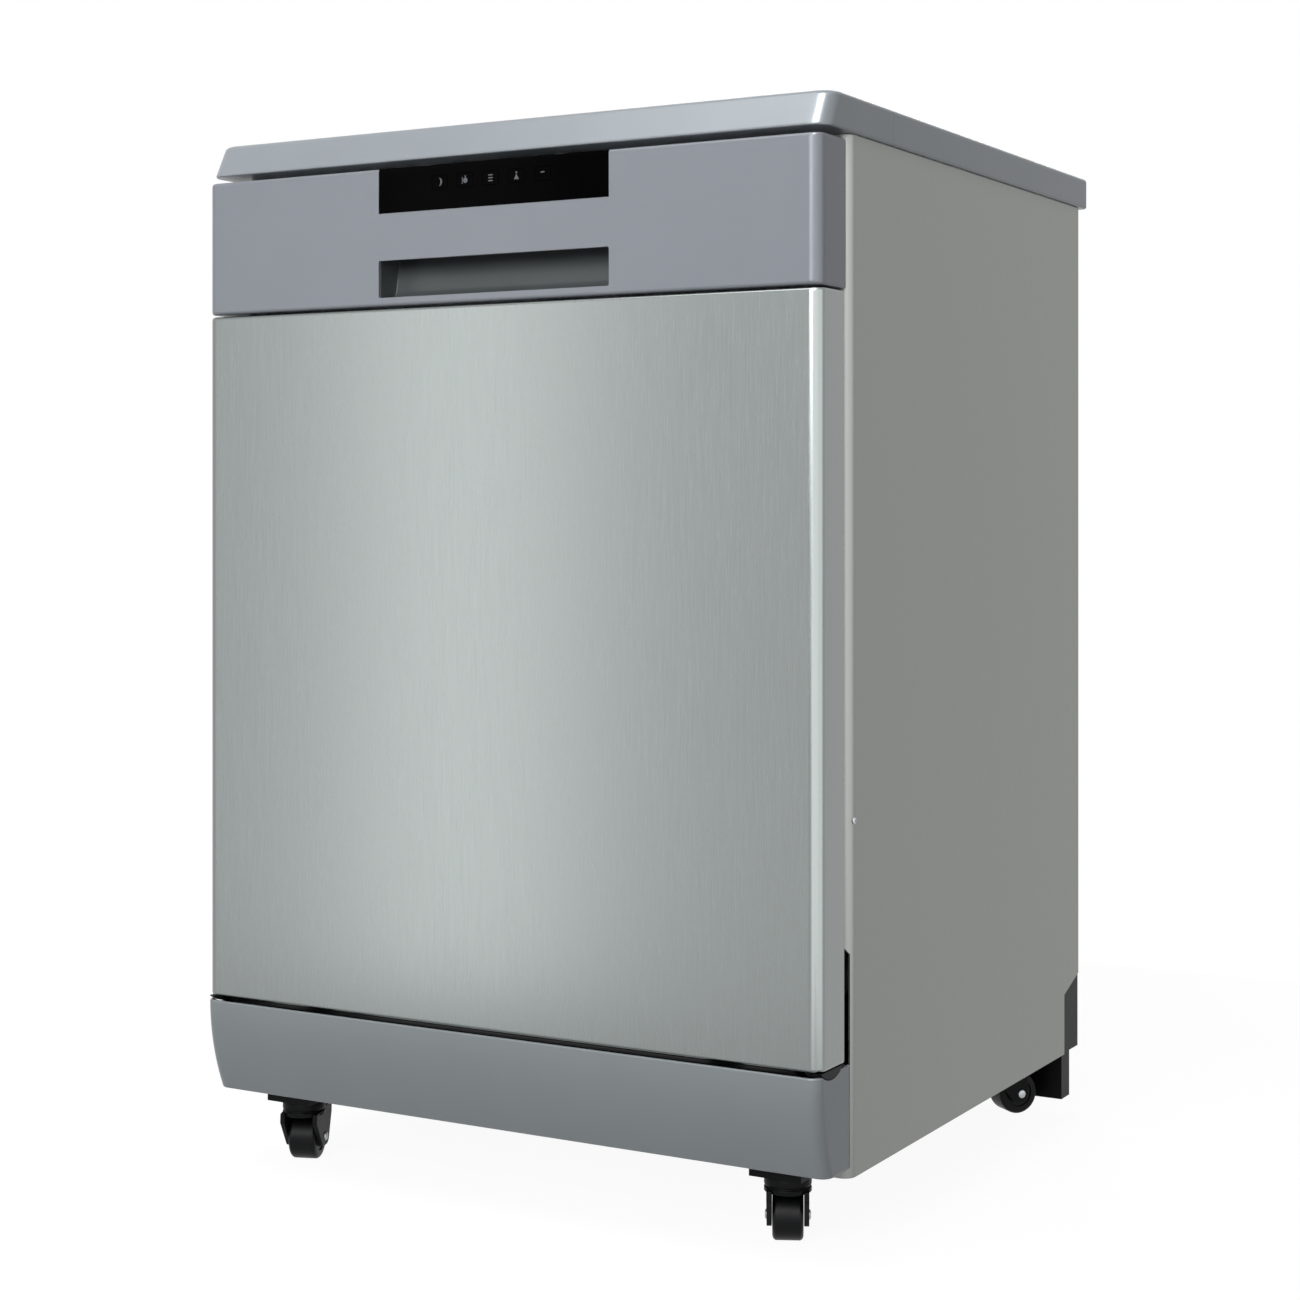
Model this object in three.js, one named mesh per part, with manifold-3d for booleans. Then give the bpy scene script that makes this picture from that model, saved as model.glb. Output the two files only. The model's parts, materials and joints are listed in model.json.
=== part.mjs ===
// A portable 60 cm dishwasher on four swivel casters, in millimetres, +Z up.
// While it is built, Y is 0 at the door's front face and grows towards the back; the
// finished group is moved so that its origin is on the floor, at the middle of its box.
import * as THREE from 'three';
import { mergeVertices } from 'three/addons/utils/BufferGeometryUtils.js';
import Module from 'manifold-3d';

const wasm = await Module();
wasm.setup();

// ---------------------------------------------------------------- driving dimensions
const FIT = 0.3;                    // gap between pieces that touch
const SHEET = 1.2;                  // steel sheet of the outer panels
const TUB_SHEET = 1.5;              // steel sheet of the tub
const WALL = 2.5;                   // wall of the plastic mouldings

const CASTER_HEIGHT = 60;           // floor to the underside of the cabinet
const BODY_HEIGHT = 845;            // cabinet underside to the top of the worktop
const CABINET_WIDTH = 598;
const CABINET_DEPTH = 602;          // door face to the rear edge of the worktop

const WORKTOP_THICKNESS = 29;
const WORKTOP_OVERHANG = 3;         // beyond each side of the cabinet
const WORKTOP_LIP = 3;              // front lip, behind the door face
const WORKTOP_SLANT = 15;           // how far the front face leans back
const WORKTOP_CORNER = 18;
const WORKTOP_RIM = 30;             // width of the frame round the board
const WORKTOP_SEAM = 132;           // where the front trim meets the rear frame
const WORKTOP_LEDGE = 8;            // depth of the ledge that carries the board

const PANEL_GAP = 6;                // worktop to control panel
const CONTROL_HEIGHT = 116;
const CONTROL_RETURN = 47;          // depth of the control panel's sides
const DOOR_GAP = 2;                 // control panel to door panel
const DOOR_RETURN = 44;             // depth of the door panel's sides
const DOOR_CORNER = 10;             // upright front edges
const DOOR_EDGE = 6;                // top and bottom front edges of the door panel

const INSERT_WIDTH = 226;           // openings for the window and for the hand grip
const GRIP_LIP = 7;                 // strip of the panel below the grip
const GRIP_HEIGHT = 31.3;           // opening of the hand grip
const GRIP_DEPTH = 33;
const GRIP_FLOOR = 24;              // depth of the grip's floor
const GRIP_HOOK = 14;               // how far the grip reaches up behind its strip
const WINDOW_HEIGHT = 38;
const KEY_COUNT = 5;
const KEY_PITCH = 25.3;
const KEY_WIDTH = 16;
const KEY_HEIGHT = 12;
const KEY_DROP = 15;                // window's top edge to the middle of the keys
const KEY_GAP = 0.4;
const KEY_TRAVEL = 1;

const KICK_TOP = 90;                // above the cabinet's underside
const KICK_BOTTOM = 9;
const KICK_PROUD = 3;               // in front of the door face
const KICK_SETBACK = 18;            // how far its bottom edge curves back
const KICK_SIDE_DROP = 4;           // its sides are lower, for the door's bottom edge
const KICK_GAP = 3.5;               // kick plate to door panel
const KICK_LUG_WIDTH = 30;          // lugs that hold the kick plate on the base tray
const KICK_LUG_INSET = 84;          // side of the cabinet to the lugs
const KICK_LUG_DROP = 26;           // below the kick plate's top
const LUG_THICK = 4;

const PANEL_FRONT = 55;             // front edge of the side panels
const PANEL_SETBACK = 17;           // rear edge of the side panels, in front of the worktop's
const PANEL_BEND = 10;              // rolled front edge
const PANEL_FLANGE = 22;            // folded edges of the side panels
const HINGE_SLOT_TOP = 183;         // slot in the side panels' front edge, above the underside
const HINGE_SLOT_BOTTOM = 84;
const NOTCH_DEPTH = 42;             // cut-out for the base at the panels' rear corner
const NOTCH_LOW = 57;
const NOTCH_HIGH = 73;

const HINGE_Y = 22;                 // door pivot, behind the door face
const HINGE_Z = 116;                // above the cabinet's underside
const PIN_RADIUS = 5;
const BRACKET_THICK = 3;
const BRACKET_INSET = 18;           // side of the cabinet to the hinge bracket's outer face
const ARM_LENGTH = 220;

const TUB_SIDE_SPACE = 31;          // side of the cabinet to the tub
const TUB_REAR_SPACE = 23.5;        // tub to the rear edge of the side panels
const AIR_BREAK_FRONT = 113.5;      // front of the tub to the air break
const AIR_BREAK_REAR = 161.5;       // air break to the back of the tub
const AIR_BREAK_LOW = 190;          // above the cabinet's underside
const AIR_BREAK_HEIGHT = 350;
const AIR_BREAK_WALL = 6;           // its ribs stand this far out
const TUB_FLOOR = 130;              // above the cabinet's underside
const TUB_ROOF_SPACE = 26;          // tub to the underside of the worktop
const TUB_CORNER = 24;
const TRACK_HEIGHT = 10.5;          // track that the lower rack rolls on
const TRACK_WIDTH = 30;
const SEAL_WIDTH = 8;
const LINER_OVERLAP = 7;            // door liner beyond each side of the tub
const LINER_DISH = 9;               // depth of the pressed field
const LINER_BORDER = 26;

const SUMP_FORWARD = 4;             // middle of the tub to the line that the arms turn about
const SUMP_RADIUS = 87;
const SUMP_DEPTH = 64;
const FILTER_RADIUS = 30;
const FILTER_OFFSET = 53;
const PUMP_DROP = 50;               // sump's rim to the pumps' axis
const SPINDLE_RADIUS = 7;
const LOWER_ARM_LENGTH = 450;
const UPPER_ARM_LENGTH = 400;
const ARM_THICK = 12;

const WIRE = 2.1;                   // radius of the racks' wires
const RIM_WIRE = 2.8;               // radius of the racks' rims
const RACK_SIDE_SPACE = 22;         // side of the tub to a rack's rim
const RACK_FRONT = 72;
const RACK_REAR_SPACE = 33.5;       // a rack's rim to the back of the tub
const RACK_SLOPE = 8;               // how far a rack's walls lean out
const LOWER_RACK_HEIGHT = 142;
const UPPER_RACK_HEIGHT = 120;
const UPPER_RACK_Z = 457;           // base of the upper rack, above the underside
const RACK_WHEEL_RADIUS = 17;
const RACK_WHEEL_WIDTH = 9;
const RACK_WHEEL_FRONT = 118;       // rack front to the first axle
const RACK_WHEEL_REAR = 78;         // second axle to the rack's back
const TINE_HEIGHT = 62;
const BASKET_WIDTH = 240;
const BASKET_DEPTH = 78;
const BASKET_HEIGHT = 105;
const BASKET_WALL = 2;
const BASKET_BAYS = 3;
const BAIL_HALF = 40;               // half the width of the basket's handle
const BAIL_RISE = 32;
const BAIL_THICK = 6;
const RAIL_UP = 72;                 // upper rack's base to its rails
const RAIL_HEIGHT = 20;
const RAIL_DEPTH = 13;
const SLIDE_TABS = [90, 350];       // from the rack's front to the tabs of its slides

const LATCH_WIDTH = 44;             // mouth that the door latch enters
const LATCH_HEIGHT = 17;
const LATCH_DROP = 15;              // control panel's top edge to the mouth's lower edge
const STRIKE_DEPTH = 30;            // mouth to the bar that the latch hooks behind
const LINER_DROP = 14;              // control panel's top edge to the liner's
const DISPENSER_WIDTH = 166;
const DISPENSER_HEIGHT = 112;
const DISPENSER_Z = 470;            // middle of the dispenser, above the underside
const LID_WIDTH = 62;
const LID_HEIGHT = 52;

const CASTER_INSET = 58;            // side of the cabinet to the casters' swivel lines
const CASTER_FRONT_Y = 63;
const CASTER_REAR_SPACE = 69;       // swivel line to the rear edge of the worktop
const PLATE_HALF = 23;              // square plate over each caster
const PLATE_DROP = 4;               // plate below the underside
const WHEEL_RADIUS = 20;
const WHEEL_WIDTH = 25;
const WHEEL_TRAIL = 10;
const WHEEL_GAP = 1;                // wheel to fork
const FORK_WALL = 3.5;
const CASTER_HEAD = 19;             // radius of the swivel head
const CASTER_TURN = { front_left: 20, front_right: 26, rear_left: 35, rear_right: -38 };

const BASE_SETBACK = 2;             // rear housing of the base, in front of the worktop's rear
const SKIRT_BOTTOM = 50;            // below the underside, at the back
const SKIRT_FRONT = 32;             // skirt's faces, in front of the housing's rear
const SKIRT_BACK = 10;
const TRAY_WALL = 4;                // base tray
const TRAY_HEIGHT = 78;
const PORT_X = 170;                 // water inlet on one side, outlet on the other
const PORT_Z = 35;                  // above the cabinet's underside
const CORD_X = 60;
const INLET_RADIUS = 13.5;
const OUTLET_RADIUS = 6.5;
const CORD_RADIUS = 8.5;
const ARC_STEPS = 4;                // facets of a rounded corner
const ROUND = 16;                   // facets of a round piece
const WIRE_SIDES = 4;               // facets round a wire

// ---------------------------------------------------------------- levels and places
const baseZ = CASTER_HEIGHT;
const topZ = baseZ + BODY_HEIGHT;
const worktopZ = topZ - WORKTOP_THICKNESS;
const controlTop = worktopZ - PANEL_GAP;
const controlBottom = controlTop - CONTROL_HEIGHT;
const doorTop = controlBottom - DOOR_GAP;
const kickTop = baseZ + KICK_TOP;
const kickBottom = baseZ + KICK_BOTTOM;
const doorBottom = kickTop + KICK_GAP;
const halfWidth = CABINET_WIDTH / 2;
const panelRear = CABINET_DEPTH - PANEL_SETBACK;
const notchFront = panelRear - NOTCH_DEPTH;
const baseRear = CABINET_DEPTH - BASE_SETBACK;
const hingeZ = baseZ + HINGE_Z;
const bracketX = halfWidth - BRACKET_INSET;
const tubHalf = halfWidth - TUB_SIDE_SPACE;
const linerHalf = tubHalf + LINER_OVERLAP;
const linerY = CONTROL_RETURN + FIT;             // front face of the door liner's border
const linerFold = linerY - 20;                   // front of the liner's folded edges
const sealY = linerY + SHEET + FIT;
const tubY = PANEL_FRONT + SHEET + FIT;          // front face of the tub's flange
const tubFloor = baseZ + TUB_FLOOR;
const tubTop = worktopZ - TUB_ROOF_SPACE;
const tubBack = panelRear - TUB_REAR_SPACE;
const tubInner = tubHalf - TUB_SHEET;
const centreY = (tubY + tubBack) / 2 - SUMP_FORWARD;
const trackTop = tubFloor + TUB_SHEET + TRACK_HEIGHT;
const lowerRackZ = trackTop + RACK_WHEEL_RADIUS * 2 + 6;
const upperRackZ = baseZ + UPPER_RACK_Z;
const railZ = upperRackZ + RAIL_UP;
const rackHalf = tubHalf - RACK_SIDE_SPACE;
const rackBack = tubBack - RACK_REAR_SPACE;
const lowerArmZ = trackTop + 4;
const wireStep = 2 * WIRE - 0.8;                 // one layer of welded wires to the next
const underRack = upperRackZ - wireStep - WIRE;  // lowest wires of the upper rack
const feedZ = underRack - FIT - 6;               // middle of the upper rack's water duct
const upperArmZ = feedZ - 6 - 2 - FIT - ARM_THICK;
const latchLow = controlTop - LATCH_DROP;
const portZ = baseZ + PORT_Z;
const overallMiddle = (CABINET_DEPTH - KICK_PROUD) / 2;

// ---------------------------------------------------------------- making solids
const AXES = {
  x: new THREE.Matrix4().makeBasis(
    new THREE.Vector3(0, 1, 0), new THREE.Vector3(0, 0, 1), new THREE.Vector3(1, 0, 0)),
  y: new THREE.Matrix4().makeBasis(
    new THREE.Vector3(0, 0, 1), new THREE.Vector3(1, 0, 0), new THREE.Vector3(0, 1, 0)),
  z: new THREE.Matrix4(),
};

function solid(geometry) {
  const bare = geometry.clone();
  for (const name of Object.keys(bare.attributes)) {
    if (name !== 'position') bare.deleteAttribute(name);
  }
  const merged = mergeVertices(bare, 1e-4);
  const made = (triVerts) => new wasm.Manifold(new wasm.Mesh({
    numProp: 3,
    vertProperties: new Float32Array(merged.attributes.position.array),
    triVerts,
  }));
  const body = made(new Uint32Array(merged.index.array));
  return body.volume() > 0 ? body : made(new Uint32Array(merged.index.array).reverse());
}

function geometryOf(body) {
  const mesh = body.getMesh();
  const geometry = new THREE.BufferGeometry();
  geometry.setAttribute('position', new THREE.BufferAttribute(mesh.vertProperties, 3));
  geometry.setIndex(new THREE.BufferAttribute(mesh.triVerts, 1));
  return geometry;
}

// A closed outline from corners [a, b, radius]; a radius rounds its corner by an arc.
function outline(corners, steps = ARC_STEPS) {
  const points = [];
  corners.forEach(([a, b, radius = 0], i) => {
    const here = new THREE.Vector2(a, b);
    if (radius <= 0) {
      points.push(here);
      return;
    }
    const before = corners[(i + corners.length - 1) % corners.length];
    const after = corners[(i + 1) % corners.length];
    const back = new THREE.Vector2(before[0], before[1]).sub(here).normalize();
    const ahead = new THREE.Vector2(after[0], after[1]).sub(here).normalize();
    const half = Math.acos(back.dot(ahead)) / 2;
    const centre = here.clone()
      .addScaledVector(back.clone().add(ahead).normalize(), radius / Math.sin(half));
    const start = here.clone().addScaledVector(back, radius / Math.tan(half));
    const turn = (Math.PI - 2 * half) * Math.sign(ahead.cross(back));
    for (let k = 0; k <= steps; k += 1) {
      points.push(start.clone().rotateAround(centre, turn * k / steps));
    }
  });
  return points;
}

const rectangle = (a0, a1, b0, b1, radius = 0) =>
  [[a0, b0, radius], [a1, b0, radius], [a1, b1, radius], [a0, b1, radius]];

// The outline is in (x, y), (y, z) or (x, z) for the axis z, x or y that it is drawn along.
function prismGeometry(axis, corners, from, to, { steps = ARC_STEPS, layers = 1 } = {}) {
  const drawn = outline(corners, steps).map((p) => (axis === 'y' ? new THREE.Vector2(p.y, p.x) : p));
  const geometry = new THREE.ExtrudeGeometry(new THREE.Shape(drawn), {
    depth: to - from, steps: layers, bevelEnabled: false,
  });
  return geometry.translate(0, 0, from).applyMatrix4(AXES[axis]);
}

const prism = (axis, corners, from, to, options) => solid(prismGeometry(axis, corners, from, to, options));

const box = (x0, x1, y0, y1, z0, z1) => solid(
  new THREE.BoxGeometry(x1 - x0, y1 - y0, z1 - z0)
    .translate((x0 + x1) / 2, (y0 + y1) / 2, (z0 + z1) / 2));

// A cylinder or cone along an axis, through the point (a, b) of the plane across it.
function rod(axis, [a, b], radius, from, to, { end = radius, sides = ROUND } = {}) {
  const geometry = new THREE.CylinderGeometry(end, radius, to - from, sides)
    .rotateX(Math.PI / 2)
    .translate(0, 0, (from + to) / 2);
  const [u, v] = axis === 'y' ? [b, a] : [a, b];
  return solid(geometry.translate(u, v, 0).applyMatrix4(AXES[axis]));
}

// A turned piece about the upright line through (x, y); the profile is [radius, z] pairs.
function turned(profile, [x, y], sides = ROUND) {
  const points = profile.map(([r, z]) => new THREE.Vector2(r, z));
  return solid(new THREE.LatheGeometry(points, sides).rotateX(Math.PI / 2).translate(x, y, 0));
}

// The radius of a faceted hole that a round piece of this radius turns in.
const clearing = (radius, sides = ROUND) => (radius + FIT) / Math.cos(Math.PI / sides);

const fuse = (...bodies) => bodies.flat(Infinity).reduce((all, body) => all.add(body));
const mirrored = (body) => body.mirror([1, 0, 0]);
const both = (body) => [body, mirrored(body)];

// A bent wire of a few sides, mitred at its corners, or a closed loop of it.
function wire(points, radius = WIRE, { closed = false, sides = WIRE_SIDES } = {}) {
  const path = points.map((p) => new THREE.Vector3(...p));
  const count = path.length;
  const step = (i) => path[(i + 1) % count].clone().sub(path[i % count]).normalize();
  const side = path.slice(2).reduce((sum, p, i) => sum.add(step(i).cross(step(i + 1))),
    new THREE.Vector3());
  if (side.lengthSq() < 1e-6) side.set(1, 0, 0).addScaledVector(step(0), -step(0).x);
  if (side.lengthSq() < 1e-6) side.set(0, 0, 1);
  side.normalize();
  const positions = [];
  path.forEach((p, i) => {
    const into = closed || i > 0 ? step((i + count - 1) % count) : step(0);
    const out = closed || i < count - 1 ? step(i) : into;
    const along = into.clone().add(out).normalize();
    const across = side.clone().cross(along).normalize();
    const stretch = 1 / along.dot(out);
    for (let k = 0; k < sides; k += 1) {
      const angle = (k + 0.5) * 2 * Math.PI / sides;
      positions.push(...p.clone()
        .addScaledVector(across, radius * stretch * Math.cos(angle))
        .addScaledVector(side, radius * Math.sin(angle)).toArray());
    }
  });
  const index = [];
  for (let i = 0; i < (closed ? count : count - 1); i += 1) {
    for (let k = 0; k < sides; k += 1) {
      const [a, b] = [i * sides + k, i * sides + (k + 1) % sides];
      const [c, d] = [a, b].map((n) => (n + sides) % (count * sides));
      index.push(a, c, b, b, c, d);
    }
  }
  for (let k = 1; k < sides - 1 && !closed; k += 1) {
    const last = (count - 1) * sides;
    index.push(0, k, k + 1, last, last + k + 1, last + k);
  }
  const geometry = new THREE.BufferGeometry();
  geometry.setAttribute('position', new THREE.Float32BufferAttribute(positions, 3));
  geometry.setIndex(index);
  return solid(geometry);
}

// ---------------------------------------------------------------- naming and colouring
const machine = new THREE.Group();
machine.position.y = -overallMiddle;

const FINISH = {
  stainless: { color: 0xa3a5a2, roughness: 0.34, metalness: 1 },
  painted_side: { color: 0x8b8d88, roughness: 0.42, metalness: 0.3 },
  silver_plastic: { color: 0x969aa1, roughness: 0.4, metalness: 0.2 },
  worktop: { color: 0x8e949a, roughness: 0.45, metalness: 0.1 },
  laminate: { color: 0x9a9c9b, roughness: 0.55, metalness: 0 },
  gloss_black: { color: 0x060708, roughness: 0.08, metalness: 0 },
  black_plastic: { color: 0x1d1e20, roughness: 0.5, metalness: 0 },
  tread: { color: 0x232427, roughness: 0.7, metalness: 0 },
  galvanised: { color: 0xa9adb0, roughness: 0.5, metalness: 0.9 },
  tub_steel: { color: 0xb8babc, roughness: 0.25, metalness: 1 },
  grey_plastic: { color: 0x9b9ea3, roughness: 0.55, metalness: 0 },
  white_plastic: { color: 0xd9dadb, roughness: 0.5, metalness: 0 },
  rubber: { color: 0x2b2c2e, roughness: 0.8, metalness: 0 },
  coated_wire: { color: 0xa9acb0, roughness: 0.5, metalness: 0 },
};

function piece(name, finish, body, parent = machine) {
  const mesh = new THREE.Mesh(geometryOf(body), new THREE.MeshStandardMaterial(FINISH[finish]));
  mesh.name = name;
  parent.add(mesh);
  return mesh;
}

// ---------------------------------------------------------------- worktop
// The front trim wraps the corners and leans back; the rear frame closes the ring.
function worktop() {
  const half = halfWidth + WORKTOP_OVERHANG;
  const inner = half - WORKTOP_RIM;
  const ledge = inner - WORKTOP_LEDGE - FIT;
  const boardFront = WORKTOP_LIP + WORKTOP_SLANT + WORKTOP_RIM;
  const boardBack = CABINET_DEPTH - WORKTOP_RIM;
  const boardZ = worktopZ + WORKTOP_LEDGE;
  const horseshoe = (front, back, inside, opening, corner) => [
    [-half, back], [-half, front, corner], [half, front, corner], [half, back],
    [inside, back], [inside, opening], [-inside, opening], [-inside, back]];

  const lean = prismGeometry('z',
    horseshoe(WORKTOP_LIP, WORKTOP_SEAM, inner, boardFront, WORKTOP_CORNER), worktopZ, topZ);
  const at = lean.attributes.position;
  for (let i = 0; i < at.count; i += 1) {
    if (at.getY(i) < WORKTOP_LIP + WORKTOP_CORNER + FIT) {
      at.setY(i, at.getY(i) + WORKTOP_SLANT * (at.getZ(i) - worktopZ) / WORKTOP_THICKNESS);
    }
  }
  const frontLedge = prism('z', horseshoe(boardFront - FIT, WORKTOP_SEAM, ledge,
    boardFront + WORKTOP_LEDGE, 0).map(([x, y, r]) => [
    Math.sign(x) * Math.min(Math.abs(x), inner + FIT), y, r]), worktopZ, boardZ - FIT);
  piece('worktop_front_trim', 'worktop', fuse(solid(lean), frontLedge));

  const seam = WORKTOP_SEAM + FIT;
  const rear = prism('z', [
    [-half, seam], [-inner, seam], [-inner, boardBack], [inner, boardBack], [inner, seam],
    [half, seam], [half, CABINET_DEPTH, WORKTOP_CORNER / 3],
    [-half, CABINET_DEPTH, WORKTOP_CORNER / 3]], worktopZ, topZ);
  const rearLedge = prism('z', [
    [-inner - FIT, seam], [-ledge, seam], [-ledge, boardBack - WORKTOP_LEDGE],
    [ledge, boardBack - WORKTOP_LEDGE], [ledge, seam], [inner + FIT, seam],
    [inner + FIT, boardBack + FIT], [-inner - FIT, boardBack + FIT]], worktopZ, boardZ - FIT);
  piece('worktop_rear_frame', 'worktop', fuse(rear, rearLedge));

  piece('worktop_board', 'laminate', box(-inner + FIT, inner - FIT,
    boardFront + FIT, boardBack - FIT, boardZ, topZ));
}

// ---------------------------------------------------------------- cabinet shell
function sidePanels() {
  const fold = halfWidth - PANEL_FLANGE;
  const sheet = prism('z', [
    [fold, PANEL_FRONT], [halfWidth, PANEL_FRONT, PANEL_BEND], [halfWidth, panelRear, 3],
    [fold, panelRear], [fold, panelRear - SHEET], [halfWidth - SHEET, panelRear - SHEET, 2],
    [halfWidth - SHEET, PANEL_FRONT + SHEET, PANEL_BEND - SHEET], [fold, PANEL_FRONT + SHEET],
  ], baseZ, worktopZ - FIT);
  const outside = halfWidth + 1;
  const notch = prism('x', [
    [notchFront, baseZ - 1], [panelRear + 1, baseZ - 1], [panelRear + 1, baseZ + NOTCH_HIGH],
    [notchFront, baseZ + NOTCH_LOW]], fold - 1, outside);
  const slotBack = PANEL_FRONT + PANEL_BEND * 0.4;
  const slot = prism('x', [
    [PANEL_FRONT - 1, baseZ + HINGE_SLOT_BOTTOM], [slotBack, baseZ + HINGE_SLOT_BOTTOM],
    [slotBack, baseZ + HINGE_SLOT_TOP - 8], [PANEL_FRONT - 1, baseZ + HINGE_SLOT_TOP],
  ], fold - 1, outside);
  const body = sheet.subtract(notch).subtract(slot);
  piece('side_panel_right', 'painted_side', body);
  piece('side_panel_left', 'painted_side', mirrored(body));
}

// The back sheet has a raised field, which stiffens it.
function backPanel() {
  const front = panelRear + FIT;
  const back = front + SHEET;
  const side = halfWidth - 4;
  const [low, high] = [baseZ + NOTCH_HIGH + 10, worktopZ - 8];
  const [border, rise] = [45, 5];
  const field = (grow, y0, y1) => prism('y', rectangle(-side + border - grow, side - border + grow,
    low + border - grow, high - border + grow, 20), y0, y1);
  piece('back_panel', 'galvanised', fuse(
    prism('y', rectangle(-side, side, low, high), front, back), field(SHEET, front, back + rise),
  ).subtract(field(0, front - 1, back + rise - SHEET)));
}

const latchMouth = (y0, y1) => box(-LATCH_WIDTH / 2, LATCH_WIDTH / 2, y0, y1,
  latchLow, latchLow + LATCH_HEIGHT);

// Across the top of the front: it ties the sides together and holds the strike.
function frontCrossbar() {
  const [low, high] = [tubTop + FIT, worktopZ - FIT];
  const [front, depth] = [tubY + TUB_SHEET + FIT, 60];
  const half = halfWidth - PANEL_FLANGE;
  const channel = prism('x', [
    [front, low], [front + depth, low], [front + depth, low + SHEET], [front + SHEET, low + SHEET],
    [front + SHEET, high - SHEET], [front + depth, high - SHEET], [front + depth, high],
    [front, high]], -half, half);
  const mouth = latchMouth(front - 1, front + SHEET + 1);
  const bar = LATCH_WIDTH / 2 + TRAY_WALL;
  const strike = box(-bar, bar, front + STRIKE_DEPTH, front + STRIKE_DEPTH + 10,
    low + SHEET - FIT / 2, high - SHEET + FIT / 2);
  piece('front_crossbar', 'galvanised', fuse(channel.subtract(mouth), strike));
}

// Kick plate: a plastic shell whose face bulges and curves back to its bottom edge.
function kickPlate() {
  const front = -KICK_PROUD;
  const back = PANEL_FRONT - FIT;
  const height = KICK_TOP - KICK_BOTTOM;
  const shell = prismGeometry('z', [
    [-halfWidth, back], [-halfWidth, front, DOOR_CORNER], [halfWidth, front, DOOR_CORNER],
    [halfWidth, back], [halfWidth - WALL, back],
    [halfWidth - WALL, front + WALL, DOOR_CORNER - WALL],
    [-halfWidth + WALL, front + WALL, DOOR_CORNER - WALL], [-halfWidth + WALL, back],
  ], kickBottom, kickTop, { layers: 5 });
  const at = shell.attributes.position;
  for (let i = 0; i < at.count; i += 1) {
    if (at.getY(i) < back - WALL) {
      const down = (kickTop - at.getZ(i)) / height;
      at.setY(i, at.getY(i) + KICK_SETBACK * down ** 2);
    }
  }
  const sideCut = both(box(halfWidth - DOOR_CORNER - 2, halfWidth + 1, front + WALL + 1, back + 1,
    kickTop - KICK_SIDE_DROP, kickTop + 1));
  const lugX = halfWidth - KICK_LUG_INSET;
  const lugZ = kickTop - KICK_LUG_DROP;
  const lugs = both(box(lugX - KICK_LUG_WIDTH, lugX, front + WALL - 0.2,
    PANEL_FRONT + PANEL_BEND - FIT, lugZ - LUG_THICK, lugZ));
  piece('kick_plate', 'silver_plastic', fuse(solid(shell), lugs).subtract(fuse(sideCut)));
}

// ---------------------------------------------------------------- base
// The base is one tray: walls, ribs, and a boss with a plate over each caster.
function basePan() {
  const side = halfWidth - SHEET - FIT;
  const [front, back] = [PANEL_FRONT + PANEL_BEND, notchFront - FIT];
  const [floor, rim] = [baseZ + TRAY_WALL, baseZ + TRAY_HEIGHT];
  const tray = box(-side, side, front, back, baseZ + FIT, rim)
    .subtract(box(-side + TRAY_WALL, side - TRAY_WALL, front + TRAY_WALL, back - TRAY_WALL,
      floor, rim + 1));
  const plates = Object.keys(CASTER_TURN).map((corner) => {
    const [x, y] = casterPlace(corner);
    return box(x - PLATE_HALF, x + PLATE_HALF, y - PLATE_HALF, Math.min(y + PLATE_HALF, back),
      baseZ - PLATE_DROP, floor + TRAY_WALL);
  });
  const ribX = halfWidth - CASTER_INSET - PLATE_HALF - 16;
  const ribs = both(box(ribX - 4, ribX, front + 2, back - 2, floor - 1, floor + 8));
  piece('base_pan', 'black_plastic', fuse(tray, plates, ribs)
    .subtract(fuse(Object.keys(CASTER_TURN).map((corner) => rod('z', casterPlace(corner),
      SPINDLE_RADIUS, baseZ - PLATE_DROP - 1, baseZ + 3, { sides: 12 })))));
}

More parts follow.
